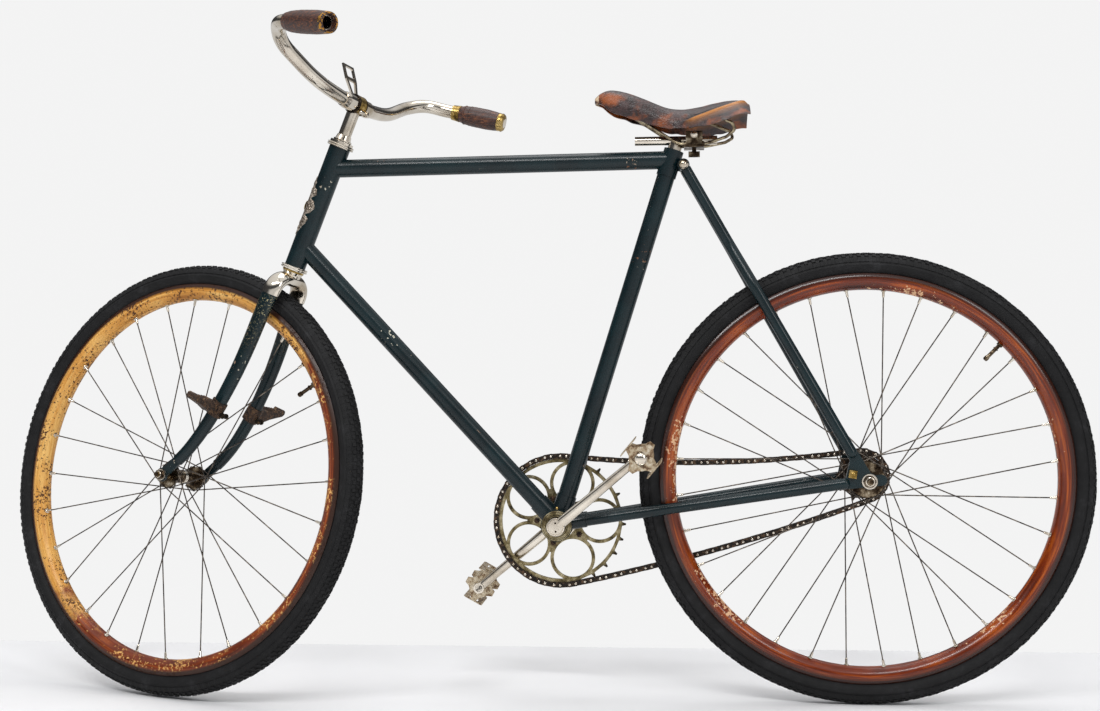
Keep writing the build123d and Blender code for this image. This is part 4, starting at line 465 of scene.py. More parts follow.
flake = add(tree, "TexNoise", {"Vector": place, "Scale": 1 / 0.0035, "Detail": 3.0})
for part in (add(tree, "MapRange", {"Value": flake, "From Min": 0.47, "From Max": 0.53}), fade, below):
    gold = add(tree, "Math", {0: gold, 1: part}, operation="MULTIPLY")
under = shader.inputs["Base Color"].links[0].from_socket
add(tree, shader, {"Base Color": add(tree, "Mix", {"Factor": gold, 6: under, 7: srgb("#C2B68C")}, data_type="RGBA")})
finish_nodes(gilt_enamel, "fork_blade_left", "fork_blade_right")

# Foot rests: malleable iron castings clamped on the blades, once plated and now rusty, with a bolt
# through the lugs of each band behind the blade.
# Rusty iron: brown and orange crust over grey, rough, with dark pits a millimetre wide.
iron, *_ = mottled("rusty_malleable_iron", 6, 8.0,
                   [(0.32, "#120D0A"), (0.47, "#2F2017"), (0.6, "#5B412B"), (0.75, "#A58A60")],
                   {"Metallic": 0.35, "Roughness": 0.62}, 0.7, relief=(0.6, 0.8))
finish_nodes(iron, "foot_rests")
LUG_BACK, BLADE_OUT, REST_UP = -9.5, 45.6, -263.0
rest_bolt = turned([(0, 1.8), (2.2, 1.4), (2.6, 0.6), (2.6, -9.0), (4.4, -9.4), (4.2, -12.0), (0, -12.6)], 18)
rest_bolts = []
for side in (-1, 1):
    at = front_end @ shift(LUG_BACK, side * BLADE_OUT, REST_UP) @ across
    rest_bolts += [(hexagon_nut(9.0, 4.0, 2.4), at @ shift(0, 0, 3.2)), (rest_bolt, at @ shift(0, 0, 6.0))]
placed("foot_rest_bolts", rest_bolts, black_steel_and_shade, "steering")

# Tyres: single tube tyres of black rubber cemented to the rims, 38 mm thick. Low blocks in five
# rows make the tread, worn down unevenly, and fine ribs run across the shoulders.
# Perished rubber: near-black and dry, greyer where dust has settled, with a crazed skin.
rubber, tree, shader, place, *_ = mottled(
    "perished_black_rubber", 30, 8.0, [(0.35, "#0C0C0D"), (0.55, "#141415"), (0.75, "#29292B")],
    {"Roughness": 0.68, "Specular IOR Level": 0.25}, 0.7)
craze = add(tree, "TexVoronoi", {"Vector": place, "Scale": 1 / 0.0025}, feature="DISTANCE_TO_EDGE")
add(tree, shader, {"Normal": add(tree, "Bump", {"Height": craze, "Strength": 0.25, "Distance": 0.0002})})
TYRE_CENTRE, TYRE_HALF = 336.6, 19.0
BLOCK_PITCHES, BLOCK_HEIGHT = 186, 2.0
RIB_HEIGHT, RIB_RISE = 0.45, 0.9
# Round the section from the middle of the tread: angle, and 0 for bare, 1 or 2 for a row of blocks,
# 3 for the ribs. Rows 1 and 2 are half a block apart.
half_section = [(0.0, 1), (8.0, 1), (8.6, 0), (12.0, 0), (12.6, 2), (28.0, 2), (28.6, 0), (32.0, 0), (32.6, 1),
                (47.0, 1), (48.2, 0), (54.0, 0), (55.0, 3), (66.0, 3), (78.0, 3), (80.0, 0), (92.0, 0),
                (106.0, 0), (122.0, 0), (150.0, 0), (180.0, 0)]
section = [(-angle, row) for angle, row in half_section[:0:-1]] + half_section[:-1]
# Stations along one pitch, as shares of it: a block of the odd rows stands on the middle two.
STATIONS = [0.0, 0.06, 0.5, 0.56]
chance = random.Random(7)
tyre_points = []
for pitch in range(BLOCK_PITCHES):
    worn_down = [chance.uniform(0.55, 1.0) for _ in range(4)]
    for station, share in enumerate(STATIONS):
        around = 2 * pi * (pitch + share) / BLOCK_PITCHES
        raised = [0.0, BLOCK_HEIGHT * worn_down[1] * (station in (1, 2)),
                  BLOCK_HEIGHT * worn_down[2] * (station in (0, 3)), RIB_RISE + RIB_HEIGHT * (station in (1, 2))]
        for angle, row in section:
            own = TYRE_HALF - BLOCK_HEIGHT * (abs(angle) < 90) + raised[row]
            reach = TYRE_CENTRE + own * cos(radians(angle))
            tyre_points.append((reach * MM * cos(around), own * MM * sin(radians(angle)),
                                reach * MM * sin(around)))
tyre_faces = net(BLOCK_PITCHES * len(STATIONS), len(section), round_rows=True, round_wide=True)
wheels = {"front": (front_axle, "front_wheel"), "rear": (rear_axle, "rear_wheel")}
for end, (axle, body) in wheels.items():
    tyre = placed(f"{end}_tyre_tread", [((tyre_points, tyre_faces), axle)], rubber, body, 30)
    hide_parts(f"{end}_tyre")

# Rims: hoops of steam-bent maple with a hollow for the tyre. The front one is painted ochre, with
# painted shade in dark red-brown on its lower right; the rear one is red lacquer that flakes to its
# cream ground.
RIM_CREST = 296.3


def wheel_pattern(tree, texture, axle):
    """Draw a rim's grain out along its hoop; gives the reach from the axle and the place on the wheel."""
    local = add(tree, "Mapping", {"Vector": add(tree, "TexCoord").outputs["Object"],
                                  "Location": axle.to_translation(), "Rotation": axle.to_euler()},
                vector_type="TEXTURE")
    parts = add(tree, "SeparateXYZ", {0: local})
    flat = add(tree, "CombineXYZ", {"X": parts.outputs["X"], "Z": parts.outputs["Z"]})
    reach = add(tree, "VectorMath", {0: flat}, operation="LENGTH")
    # A grain line is drawn about 90 mm long and 1.5 mm wide, coarser than maple's, so that it shows.
    around = add(tree, "VectorMath", {0: add(tree, "VectorMath", {0: flat}, operation="NORMALIZE"), "Scale": 3.6},
                 operation="SCALE")
    cross_way = add(tree, "Math", {0: parts.outputs["Y"], 1: 1 / 0.003}, operation="MULTIPLY")
    deep_way = add(tree, "Math", {0: reach, 1: 1 / 0.003}, operation="MULTIPLY")
    side = add(tree, "CombineXYZ", {"Y": add(tree, "Math", {0: cross_way, 1: deep_way}, operation="ADD")})
    add(tree, texture, {"Vector": add(tree, "VectorMath", {0: around, 1: side}, operation="ADD")})
    return reach, local


def worn_through(tree, shader, coat, ground, marks, rough, reach, edge, edge_colour):
    """Show the ground in a rim's marks, sunk and rougher, and darken a band at its outer edge, next to the tyre."""
    marked = add(tree, "Mix", {"Factor": marks, 6: coat, 7: ground}, data_type="RGBA")
    edge_band = add(tree, "MapRange", {"Value": reach, "From Min": edge[0], "From Max": edge[1]})
    add(tree, shader, {
        "Base Color": add(tree, "Mix", {"Factor": edge_band, 6: marked, 7: srgb(edge_colour)}, data_type="RGBA"),
        "Roughness": add(tree, "MapRange", {"Value": marks, "To Min": rough[0], "To Max": rough[1]}),
        "Normal": add(tree, "Bump", {"Height": marks, "Strength": 0.6, "Distance": 0.0004}, invert=True)})


# Rim paint: satin ochre with brown specks and a dark edge. Painted light and shade split it: the
# hoop's upper left, towards the light, is ochre, and its lower right is painted shade in a dark
# red-brown with pale specks.
ochre, tree, shader, _, streaks, lit_side_coat = mottled(
    "ochre_paint_on_maple", 1000, 4.0, [(0.3, "#A4681F"), (0.48, "#CC9040"), (0.68, "#E2B468")],
    {"Specular IOR Level": 0.35})
reach, local = wheel_pattern(tree, streaks, front_axle)
shaded_side_coat = add(tree, "ValToRGB", {"Fac": streaks}, ramp=[(0.3, "#3C1405"), (0.5, "#6E2A0A"), (0.7, "#A0501C")])
# Painted light and shade: the lit side's mask rises towards the rim's upper left, where the light falls.
lit_side_edge_noise = add(tree, "TexNoise", {"Vector": local, "Scale": 1 / 0.03, "Detail": 5.0})
toward_light = add(tree, "VectorMath", {0: local, 1: (-2.2, 0.0, 2.4)}, operation="DOT_PRODUCT")
lit_side_sum = add(tree, "Math", {0: toward_light, 1: lit_side_edge_noise}, operation="ADD")
lit_side = add(tree, "MapRange", {"Value": lit_side_sum, "From Min": 0.3, "From Max": 0.52})
coat = add(tree, "Mix", {"Factor": lit_side, 6: shaded_side_coat, 7: lit_side_coat}, data_type="RGBA")
fleck = add(tree, "TexNoise", {"Vector": local, "Scale": 1 / 0.0045, "Detail": 4.0, "Roughness": 0.7})
fleck_zone = add(tree, "TexNoise", {"Vector": local, "Scale": 1 / 0.06, "Detail": 2.0})
fleck_sum = add(tree, "Math", {0: fleck_zone, 1: 0.5, 2: fleck}, operation="MULTIPLY_ADD")
flecks = add(tree, "MapRange", {"Value": fleck_sum, "From Min": 0.81, "From Max": 0.84})
fleck_tone = add(tree, "Mix", {"Factor": lit_side, 6: srgb("#D9A45E"), 7: srgb("#4A2810")}, data_type="RGBA")
worn_through(tree, shader, coat, fleck_tone, flecks, (0.36, 0.7), reach, (0.3125, 0.3165), "#33190B")
finish_nodes(ochre, "front_rim")

# Red rim lacquer: glossy transparent red over maple, dark towards the tyre, flaking to cream.
red_lacquer, tree, shader, _, streaks, coat = mottled(
    "red_lacquer_on_maple", 1000, 4.0, [(0.3, "#3A1002"), (0.5, "#6E2605"), (0.7, "#A8500F")],
    {"Specular IOR Level": 0.35, "Coat Weight": 0.25, "Coat Roughness": 0.12})
reach, local = wheel_pattern(tree, streaks, rear_axle)
# Flakes lie on the hoop's inner crest, where feet and stones reach it.
crest = add(tree, "MapRange", {"Value": reach, "From Min": 0.309, "From Max": 0.300, "To Max": 0.1})
flakes = spots(tree, local, (6, 4.0, 0.6), (120, 1.0, 0.5), 1.27, 1.3, crest)
worn_through(tree, shader, coat, srgb("#D8AC84"), flakes, (0.24, 0.6), reach, (0.311, 0.3175), "#2E1208")
finish_nodes(red_lacquer, "rear_rim")

# Spokes: 2 mm steel wire, once tinned and now dark, each drawn up by a nickelled nipple that stands
# on a domed washer on the inner side of the rim.
# Dull tinned wire: dark grey with brown along its length and a weak shine.
tinned, *_ = mottled("dull_tinned_wire", 10, 4.0, [(0.35, "#2B2622"), (0.52, "#544D46"), (0.7, "#857B6F")],
                     {"Metallic": 0.8, "Roughness": 0.42})
finish_nodes(tinned, "front_spokes", "rear_spokes")
# Each wheel's number of spokes, the angle of its first one, and its flanges' radius and place.
SPOKE_SETS = {"front": (28, 11.7, 19.0, 32.0), "rear": (32, 5.4, 27.5, 29.0)}
RIM_OUT, STAGGER, WIRE_RADIUS = 3.0, 1.1, 1.05
nipple = turned([(0, -0.3), (4.2, -0.3), (4.0, 0.6), (2.4, 1.3), (2.2, 2.0), (2.0, 9.0), (1.5, 10.2), (1.05, 10.4)], 14)
elbow = turned([(0, -2.6), (1.7, -2.3), (2.1, -1.4), (1.7, -0.4), (1.05, 0.2)], 12)
for end, (count, phase, flange_radius, flange_y) in SPOKE_SETS.items():
    axle, body = wheels[end]
    start, finish = flange_radius + WIRE_RADIUS, RIM_CREST - 0.2
    swing = degrees(acos(start / finish))
    nipples, elbows = [], []
    for k in range(count):
        side, lean = (1 if k % 2 else -1), (1 if k % 4 in (1, 2) else -1)
        at_rim, aside = phase + 360 / count * k, lean * STAGGER
        hub_point = about_y(at_rim + lean * swing) @ Vector((start * MM, side * (flange_y + aside) * MM, 0))
        rim_point = about_y(at_rim) @ Vector((finish * MM, side * (RIM_OUT + aside) * MM, 0))
        along = hub_point - rim_point
        nipples.append((nipple, axle @ Matrix.Translation(rim_point) @ facing(along)))
        elbows.append((elbow, axle @ Matrix.Translation(hub_point) @ facing(-along)))
    placed(f"{end}_nipples", nipples, nickel, body)
    placed(f"{end}_spoke_heads", elbows, tinned, body)

# Hubs: turned from bar and nickelled, dull and brown with old oil round the flanges. Each has a
# spring clip over its oil hole in the middle of the barrel.
# Oil-stained nickel: bright only in patches, elsewhere brown and matt with dried oil.
hub_metal, *_ = mottled("oil_stained_nickel", 12, 6.0,
                        [(0.36, "#1F1712"), (0.5, "#4E4031"), (0.62, "#93846D"), (0.76, "#CCC2B0")],
                        {"Metallic": 1.0}, 0.65, rub=(0.35, 0.65, 0.55, 0.2))
finish_nodes(hub_metal, "front_hub", "rear_hub", "rear_axle", "front_axle", "rear_axle_nuts", "front_axle_nuts",
             "front_valve", "rear_valve")
for end, barrel in (("front", 10.75), ("rear", 16.0)):
    axle, body = wheels[end]
    clip = turned([(barrel + 0.05, -3.4), (barrel + 0.9, -3.2), (barrel + 1.0, 0), (barrel + 0.9, 3.2),
                   (barrel + 0.05, 3.4)], 36)
    placed(f"{end}_oil_clip", [(clip, axle @ across)], nickel, body)

# Axle nuts: each hexagon nut has a domed face and a broad flange washer. Their plate is bright in
# rings where spanners have turned on it, and a brass cap closes each end of the front axle.
WASHER = 1.8
for name, axle, end_y, size, body in (("rear_nut_faces", rear_axle, 62.5, 16.0, "frame"),
                                      ("front_nut_faces", front_axle, 51.5, 13.0, "steering")):
    dome = turned([(size * 0.31, 0.0), (size * 0.34, 0.42), (size * 0.41, 0.42), (size * 0.48, -0.4)], 40)
    washer = turned([(size * 0.5, 0.0), (size * 0.66, 0.5), (size * 0.74, 0.3), (size * 0.76, -1.7)], 48)
    nut_faces = []
    for side in (-1, 1):
        seat = axle @ facing((0, side, 0)) @ shift(0, 0, end_y + WASHER)
        nut_faces += [(dome, seat @ shift(0, 0, size * 0.45)), (washer, seat)]
    placed(name, nut_faces, nickel, body)
CAP_OUT = 59.2
axle_cap = turned([(0, 3.4), (2.2, 3.1), (3.8, 1.8), (4.3, 0.0), (4.3, -1.5)], 28)
placed("front_axle_caps", both_sides([axle_cap], front_axle, 0, CAP_OUT, 0), brass, "steering")

# Valves: a turned cap and a collar on each stem, in the hubs' oil-stained plate.
VALVE_ANGLES, CAP_IN = {"front": 30.0, "rear": 45.0}, 34.2
valve_cap = turned([(3.05, -7.0), (3.9, -6.6), (3.9, -1.4), (3.3, -0.4), (2.0, 0.4), (0, 0.5)], 20)
collar = turned([(3.05, -25.0), (4.2, -24.7), (4.2, -23.3), (3.05, -23.0)], 20)
for end, angle in VALVE_ANGLES.items():
    axle, body = wheels[end]
    stem_end = axle @ about_y(angle) @ shift(RIM_CREST - CAP_IN, 0, 0) @ facing((-1, 0, 0))
    placed(f"{end}_valve_cap", [(valve_cap, stem_end), (collar, stem_end)], hub_metal, body)

# Chainring: stamped steel plate with teeth for an inch-pitch block chain, its plating worn to an
# olive tarnish. Five bolts with low round heads and hexagon nuts hold it on the spider.
# Tarnished steel: olive and straw with brown stains, brighter along the face, dark at the teeth.
tarnish, tree, shader, place, _, skin = mottled(
    "tarnished_steel_plate", 14, 6.0, [(0.34, "#3E3626"), (0.47, "#7C6F4E"), (0.6, "#A89C7C"), (0.75, "#CFC6A8")],
    {"Metallic": 0.9, "Roughness": 0.4}, 0.6, relief=(0.2, 0.4))
ring_parts = add(tree, "SeparateXYZ", {0: add(tree, "Mapping", {
    "Vector": place, "Location": crank_axle.to_translation()}, vector_type="TEXTURE")})
ring_flat = add(tree, "CombineXYZ", {"X": ring_parts.outputs["X"], "Z": ring_parts.outputs["Z"]})
ring_reach = add(tree, "VectorMath", {0: ring_flat}, operation="LENGTH")
teeth = add(tree, "MapRange", {"Value": ring_reach, "From Min": 0.098, "From Max": 0.104})
greased = add(tree, "Mix", {"Factor": teeth, 6: skin, 7: srgb("#2B231A")}, data_type="RGBA")
add(tree, shader, {"Base Color": greased})
finish_nodes(tarnish, "chainring", "bottom_bracket_cups")
BOLT_CIRCLE, RING_FACE, SPIDER_BACK = 38.0, 49.2, 40.7
bolt_head = turned([(0, 3.2), (2.6, 3.0), (4.2, 2.0), (4.8, 0.6), (4.8, -0.3)], 24)
bolt_tip = turned([(0, 4.4), (1.6, 4.2), (2.1, 3.6), (2.1, 2.5)], 16)
ring_bolts = []
for k in range(5):
    turn = radians(36 + 72 * k)
    at = crank_axle @ shift(BOLT_CIRCLE * cos(turn), 0, BOLT_CIRCLE * sin(turn))
    behind = at @ shift(0, SPIDER_BACK, 0) @ facing((0, -1, 0))
    ring_bolts += [(bolt_head, at @ shift(0, RING_FACE, 0) @ across), (hexagon_nut(8.5, 3.4, 2.0), behind),
                   (bolt_tip, behind)]
placed("chainring_bolts", ring_bolts, iron, "cranks")

# Chain: solid blocks joined by pairs of links, with the ends of the pins riveted over. The steel is
# black with old oil; each rivet head is worn bright where it rubs.
# Oiled chain steel: near-black film, brown rust breaking through on the corners.
chain_steel, *_ = mottled("oiled_chain_steel", 5, 5.0, [(0.38, "#15110E"), (0.52, "#2E241C"), (0.66, "#5E4733")],
                          {"Metallic": 0.6, "Roughness": 0.42})
finish_nodes(chain_steel, "chain", "sprocket")
CHAIN_MIDDLE, PLATE_OUT, HALF_BLOCK, OFF_LINE = 43.0, 4.35, 5.08, 0.8
loop = bmesh.new()
loop.from_mesh(nodes["chain"].data)
bmesh.ops.remove_doubles(loop, verts=loop.verts, dist=1e-6)
loop.verts.index_update()
unseen, blocks = {vert.index: vert for vert in loop.verts}, []
while unseen:
    reached = [unseen.popitem()[1]]
    for vert in reached:
        others = [unseen.pop(edge.other_vert(vert).index, None) for edge in vert.link_edges]
        reached += [other for other in others if other is not None]
    corners = [vert.co.copy() for vert in reached]
    middle = sum(corners, Vector()) / len(corners)
    # A block straddles the chain line; the links lie to either side of it.
    if abs(middle.y - CHAIN_MIDDLE * MM) < OFF_LINE * MM:
        blocks.append((middle, sorted(corners, key=lambda corner: -(corner - middle).length)))
loop.free()
rivet = turned([(0, 0.75), (1.3, 0.6), (2.1, 0.15), (2.3, -0.3)], 14)
rivets = []
for middle, corners in sorted(blocks, key=lambda block: tuple(block[0])):
    # The block's eight far corners, all counted towards one end, give its long way.
    reach = sum((c - middle if (c - middle).dot(corners[0] - middle) > 0 else middle - c for c in corners[:8]),
                Vector())
    reach.y = 0
    for end in (-1, 1):
        pin = Vector((middle.x, CHAIN_MIDDLE * MM, middle.z)) + reach.normalized() * end * HALF_BLOCK * MM
        rivets += [(rivet, Matrix.Translation(pin) @ shift(0, side * PLATE_OUT, 0) @ facing((0, side, 0)))
                   for side in (-1, 1)]
placed("chain_rivets", rivets, nickel, "frame")

# Pedals: rat-trap cages of toothed plate, riveted to a star at each end of the barrel. Their plate
# is worn to a dull cream with rust coming through, and a domed cap closes each barrel.
# Rusted plate: brown rust in patches over dull cream-grey nickel.
cage_metal, tree, shader, _, rust, _ = mottled(
    "rusted_plated_iron", 9, 7.0, [(0.32, "#2E1F15"), (0.42, "#755A3E"), (0.5, "#B5A488"), (0.66, "#E0D6C2")],
    {"Roughness": 0.42}, 0.65, relief=(0.4, 0.5))
add(tree, shader, {"Metallic": add(tree, "MapRange", {
    "Value": rust, "From Min": 0.45, "From Max": 0.55, "To Min": 0.25, "To Max": 0.95})})
finish_nodes(cage_metal, "pedal_cage_left", "pedal_cage_right", "pedal_barrel_left", "pedal_barrel_right",
             "pedal_spindles")
# Each crank's side, the angle at which it stands, and how far out its boss lies.
CRANKS = {"left": (-1, 39.8, 50.8), "right": (1, 219.8, 58.0)}
CRANK_REACH, EYE_OUT, BARREL_END = 178.0, 62.0, 151.2
dome = turned([(0, 2.6), (3.5, 2.3), (6.4, 1.2), (7.8, 0.2), (8.4, 0.6), (9.0, 0.2), (9.2, -0.6)], 32)
for hand, (side, crank_turn, _) in CRANKS.items():
    outer = crank_axle @ about_y(crank_turn) @ shift(CRANK_REACH, side * BARREL_END, 0) @ facing((0, side, 0))
    placed(f"pedal_cap_{hand}", [(dome, outer)], nickel, f"pedal_{hand}")

# Cranks: forged, tapered arms of oval section, nickel plated, with a round boss at the axle and an
# eye at the pedal. Painted shade: a black ring stands for the shaded gap round the boss, and two black
# dots on its cover stand for the shade in its pin-spanner holes.
ARM_SIDES, SQUARENESS = 28, 2.4
ARM_ROWS = [(0.0, 9.0, 5.0), (0.06, 9.0, 5.2), (0.16, 8.6, 5.2), (0.5, 7.6, 5.0), (0.84, 6.6, 4.7), (0.95, 6.6, 4.6),
            (1.0, 6.4, 4.4)]
boss = turned([(8.6, -5.3), (14.2, -5.3), (14.5, -4.6), (14.5, 4.0), (13.9, 5.0), (12.6, 5.2), (12.2, 4.7),
               (11.6, 4.7), (11.2, 5.3), (0, 5.5)], 56)
eye = turned([(0, -6.0), (8.4, -6.0), (9.0, -5.4), (9.0, 5.2), (8.3, 6.0), (6.6, 6.0), (6.2, 5.2), (0, 5.2)], 40)
gap_shade = turned([(8.6, -0.6), (15.2, -0.6), (15.2, 0.6), (8.6, 0.6)], 48)
hole_shade = turned([(0, 0.12), (1.5, 0.1), (1.7, -0.1)], 16)
HOLE_OUT, HOLE_TURN, COVER_UP, GAP_UP = 6.6, 52, 5.42, -5.9
for hand, (side, crank_turn, boss_y) in CRANKS.items():
    arm_place = crank_axle @ about_y(crank_turn)
    points = []
    for share, half_width, half_depth in ARM_ROWS:
        middle_y = boss_y + (EYE_OUT - boss_y) * share
        for k in range(ARM_SIDES):
            turn = 2 * pi * k / ARM_SIDES
            c, s = cos(turn), sin(turn)
            # The section is a rounded oval, a little squarer than an ellipse.
            size = 1 / (abs(c) ** SQUARENESS + abs(s) ** SQUARENESS) ** (1 / SQUARENESS)
            points.append((share * CRANK_REACH * MM, side * (middle_y + half_depth * size * s) * MM,
                           half_width * size * c * MM))
    faces = net(len(ARM_ROWS), ARM_SIDES, round_wide=True)
    faces += [tuple(row * ARM_SIDES + k for k in range(ARM_SIDES)) for row in (0, len(ARM_ROWS) - 1)]
    boss_place = arm_place @ shift(0, side * boss_y, 0) @ facing((0, side, 0))
    eye_place = arm_place @ shift(CRANK_REACH, side * EYE_OUT, 0) @ facing((0, side, 0))
    arm = placed(f"crank_arm_{hand}", [((points, faces), arm_place), (boss, boss_place), (eye, eye_place)], nickel,
                 "cranks", 32)
    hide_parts(f"crank_{hand}")
    # Painted shade: black discs for the shade in the spanner holes and in the gap round the boss.
    shade_dots = [(hole_shade, boss_place @ Matrix.Rotation(radians(HOLE_TURN), 4, "Z") @ shift(aside, 0, COVER_UP))
            for aside in (-HOLE_OUT, HOLE_OUT)]
    placed(f"crank_shade_{hand}", shade_dots + [(gap_shade, boss_place @ shift(0, 0, GAP_UP))], black_steel_and_shade, "cranks")

# Bracket cups: each has a dark groove round its lockring and another at its lip.
CUP_OUT = 37.0
grooves = [turned([(16.6, -0.4), (16.8, 0.15), (17.6, 0.15), (17.8, -0.4)], 48),
           turned([(21.4, -0.4), (21.6, 0.15), (22.3, 0.15), (22.5, -0.4)], 56)]
placed("bracket_cup_grooves", both_sides(grooves, crank_axle, 0, CUP_OUT, 0), black_steel_and_shade, "frame")

# Small frame fittings: a spring-lidded oiler on the bottom bracket, the screws of the chain
# adjusters, and the side nuts of the saddle clip. They are brass and nickelled steel.
SHELL_RADIUS, OILER_LEFT, OILER_ANGLE = 24.0, -14.0, 92
ADJUSTER_AT, CLIP_BOLT_AT = (209.0, 70.6, -580.95), (-30.1, 22.0, -49.5)
oiler = turned([(0, 4.2), (1.8, 3.9), (2.6, 2.8), (2.7, 1.4), (3.8, 1.0), (4.0, -1.0)], 20)
oiler_place = crank_axle @ about_y(OILER_ANGLE) @ shift(SHELL_RADIUS, OILER_LEFT, 0) @ facing((1, 0, 0))
placed("bracket_oiler", [(oiler, oiler_place)], brass, "frame")
screw = turned([(0, 2.0), (2.2, 1.8), (3.4, 1.0), (3.5, 0.0), (2.0, 0.0), (2.0, -2.5)], 20)
placed("adjuster_screws", both_sides([screw], Matrix.Identity(4), *ADJUSTER_AT), brass, "frame")
side_nut = turned([(0, 3.4), (2.4, 3.2), (3.9, 2.2), (4.2, 0.6), (5.6, 0.4), (5.8, -0.4)], 24)
placed("clip_side_nuts", both_sides([side_nut], Matrix.Identity(4), *CLIP_BOLT_AT), nickel, "frame")
finish_nodes(hub_metal, "saddle_clip")

# Saddle springs: 5 mm spring wire bent in one length each side, brassed and now dull.
# Dull brassed wire: warm grey, yellower where it is rubbed.
wire_metal, *_ = mottled("dull_brassed_wire", 8, 5.0, [(0.35, "#4E4235"), (0.5, "#94866E"), (0.7, "#C4B798")],
                         {"Metallic": 1.0, "Roughness": 0.34})
finish_nodes(wire_metal, "saddle_springs")

# Saddle: one thick hide blocked to shape, with a narrow raised nose, a dip and a broad seat. Its
# top is dished and shiny, a ridge is moulded along each side, and the edge is dry and cracked.
# Old leather: purplish brown with a grey bloom on the top and rubbed orange-brown patches at the
# nose and along the side; fine cracks everywhere.
hide, tree, shader, place, bloom, skin = mottled(
    "old_brown_saddle_leather", 12, 8.0, [(0.34, "#150C0B"), (0.48, "#2A1817"), (0.6, "#3B2625"), (0.74, "#5C4844")],
    None, 0.65, rub=(0.3, 0.7, 0.26, 0.55))
parts = add(tree, "SeparateXYZ", {0: place})
along, up = parts.outputs["X"], parts.outputs["Z"]
wear = add(tree, "TexNoise", {"Vector": place, "Scale": 1 / 0.035, "Detail": 4.0})
for worn_at in (add(tree, "MapRange", {"Value": along, "From Min": -0.12, "From Max": -0.18, "To Max": 0.16}),
                add(tree, "MapRange", {"Value": up, "From Min": -0.012, "From Max": -0.03, "To Max": 0.1})):
    wear = add(tree, "Math", {0: wear, 1: worn_at}, operation="ADD")
rubbed = add(tree, "MapRange", {"Value": wear, "From Min": 0.55, "From Max": 0.69, "To Max": 0.85})
tan = add(tree, "Mix", {"Factor": rubbed, 6: skin, 7: srgb("#924812")}, data_type="RGBA")
# Painted light on the seat: a painted golden highlight along the moulded ridge, and painted black
# shade in the fold above it.
ridge_line = add(tree, "VectorMath", {0: place, 1: (-0.33, 0.0, 1.0)}, operation="DOT_PRODUCT")
rise = add(tree, "MapRange", {"Value": add(tree, "Math", {0: ridge_line, 1: 0.0145}, operation="ADD"),
                              "From Min": -0.02, "From Max": 0.02})
ridge_highlight = add(tree, "ValToRGB", {"Fac": rise},
               ramp=[(0.1, "#000000"), (0.3, "#8C8C8C"), (0.44, "#FFFFFF"), (0.5, "#000000")])
fold_shade = add(tree, "ValToRGB", {"Fac": rise},
              ramp=[(0.49, "#000000"), (0.515, "#FFFFFF"), (0.54, "#FFFFFF"), (0.58, "#000000")])
rear_part = add(tree, "MapRange", {"Value": along, "From Min": -0.046, "From Max": -0.03})
ridge_lit_fold_shaded = tan
for part, colour in ((ridge_highlight, "#B8742A"), (fold_shade, "#120907")):
    part = add(tree, "Math", {0: part, 1: rear_part}, operation="MULTIPLY")
    ridge_lit_fold_shaded = add(tree, "Mix", {"Factor": part, 6: ridge_lit_fold_shaded, 7: srgb(colour)}, data_type="RGBA")
tip = add(tree, "MapRange", {"Value": along, "From Min": -0.176, "From Max": -0.181})
tip_torn = add(tree, "Math", {0: tip, 1: bloom}, operation="MULTIPLY")
torn = add(tree, "MapRange", {"Value": tip_torn, "From Min": 0.42, "From Max": 0.5})
pale = add(tree, "Mix", {"Factor": torn, 6: ridge_lit_fold_shaded, 7: srgb("#C9B193")}, data_type="RGBA")
craze = add(tree, "TexVoronoi", {"Vector": place, "Scale": 1 / 0.0045}, feature="DISTANCE_TO_EDGE")
crazing = add(tree, "MapRange", {"Value": craze, "From Max": 0.12})
crackle = add(tree, "Bump", {"Height": add(tree, "Math", {0: crazing, 1: bloom}, operation="ADD"), "Strength": 0.45,
                             "Distance": 0.0005})
add(tree, shader, {"Base Color": pale, "Normal": crackle})
# Rows of the hide from nose to rear: place, height, half width and depth of the skirt.
SADDLE_ROWS = [(-187.0, 13.0, 7.5, 9.0), (-177.0, 21.0, 16.0, 21.0), (-161.0, 25.0, 21.5, 37.0),
               (-137.0, 21.0, 23.0, 42.0), (-110.0, 11.0, 24.0, 41.0), (-77.0, -3.0, 30.0, 37.0),
               (-50.0, -7.5, 40.0, 35.0), (-22.0, -4.5, 60.0, 39.0), (0.0, 0.0, 73.0, 41.0),
               (20.0, 3.5, 82.0, 39.0), (40.0, 4.0, 86.0, 33.0), (56.0, -3.0, 80.0, 25.0)]
LEATHER, RIDGE_LEVEL, RIDGE_SLOPE = 4.5, -14.5, 0.33
STATIONS_ALONG, STEPS_ACROSS = 110, 132


def saddle_row(t):
    """Place, height, half width and skirt of the hide at a fraction of its length."""
    at = t * (len(SADDLE_ROWS) - 1)
    i = min(int(at), len(SADDLE_ROWS) - 2)
    f = at - i
    before, start, end, after = (SADDLE_ROWS[min(max(k, 0), len(SADDLE_ROWS) - 1)] for k in range(i - 1, i + 3))
    return [0.5 * (2 * s + (e - b) * f + (2 * b - 5 * s + 4 * e - a) * f * f + (3 * s - b - 3 * e + a) * f ** 3)
            for b, s, e, a in zip(before, start, end, after)]


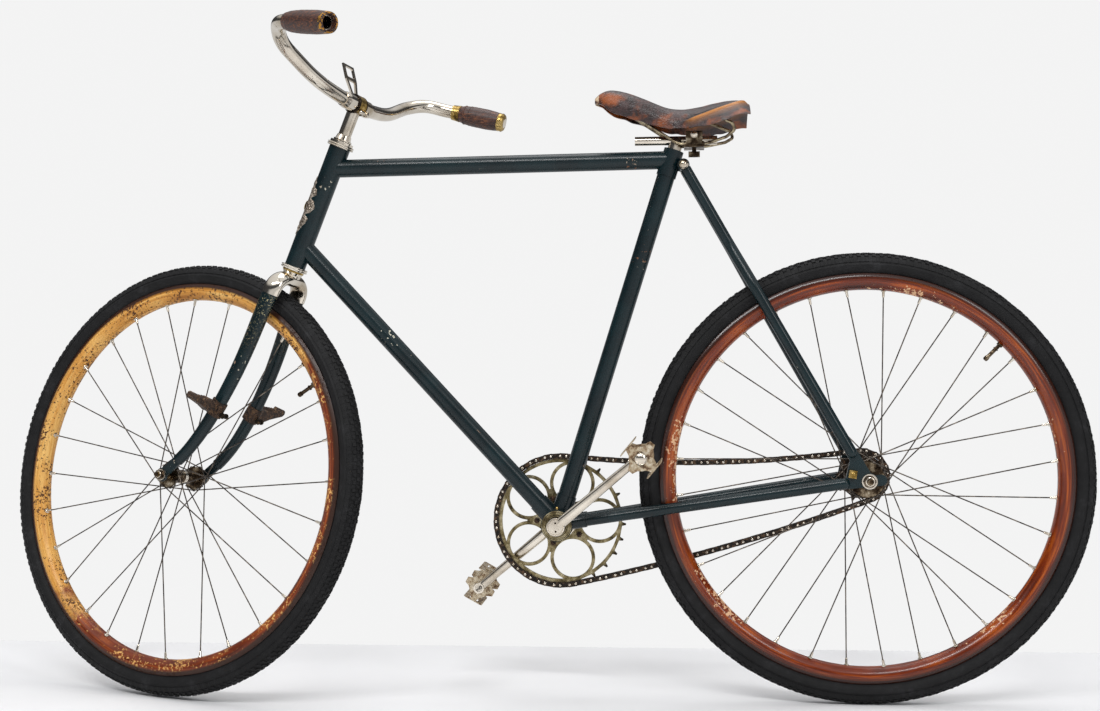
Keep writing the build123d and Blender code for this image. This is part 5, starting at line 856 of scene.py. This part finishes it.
hide_points = []
for i in range(STATIONS_ALONG + 1):
    x, height, half, skirt = saddle_row(i / STATIONS_ALONG)
    hem = height - skirt
    in_seat = max(0.0, min(1.0, (x + 52) / 16)) * max(0.0, min(1.0, (62 - x) / 14))
    for inner in (0, 1):
        top, wide_at = height - LEATHER * inner, half - LEATHER * inner
        centre = (top ** 2 - hem ** 2 - wide_at ** 2) / (2 * (top - hem))
        radius = top - centre
        limit = atan2(wide_at, hem - centre)
        for k in range(STEPS_ACROSS + 1):
            share = 2 * k / STEPS_ACROSS - 1
            reach = radius
            if not inner:
                # The moulded ridge that climbs the seat's side, the fold above it, and shallow dents.
                above_ridge = centre + radius * cos(share * limit) - RIDGE_LEVEL - RIDGE_SLOPE * x
                reach += 2.6 * in_seat * exp(-((above_ridge + 3.4) / 2.6) ** 2)
                reach -= 2.0 * in_seat * exp(-((above_ridge - 1.0) / 1.1) ** 2)
                reach += 0.8 * max(0.0, (abs(share) - 0.93) / 0.07)
                reach += 0.5 * noise.noise(Vector((x * 0.05, share * 3.0, 1.7)))
            uneven = 0.6 + 0.6 * sin(x * 0.21) + 1.2 * noise.noise(Vector((x * 0.09, share, 4.0)))
            hide_points.append((x * MM, reach * sin(share * limit) * MM,
                                (centre + reach * cos(share * limit) + abs(share) ** 12 * uneven) * MM))
# Each station holds an outer and an inner row; skins, hems and the two ends close the hide.
strip = STEPS_ACROSS + 1
hide_faces = []
for near in range(0, 2 * STATIONS_ALONG * strip, 2 * strip):
    far = near + 2 * strip
    for k in range(STEPS_ACROSS):
        hide_faces.append((near + k, near + k + 1, far + k + 1, far + k))
        hide_faces.append((near + strip + k, far + strip + k, far + strip + k + 1, near + strip + k + 1))
    hide_faces += [(near + k, far + k, far + strip + k, near + strip + k) for k in (0, STEPS_ACROSS)]
for near in (0, 2 * STATIONS_ALONG * strip):
    hide_faces += [(near + k, near + k + 1, near + strip + k + 1, near + strip + k) for k in range(STEPS_ACROSS)]
seat = placed("saddle_hide", [((hide_points, hide_faces), Matrix.Identity(4))], hide, "frame", 50)
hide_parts("saddle_leather")
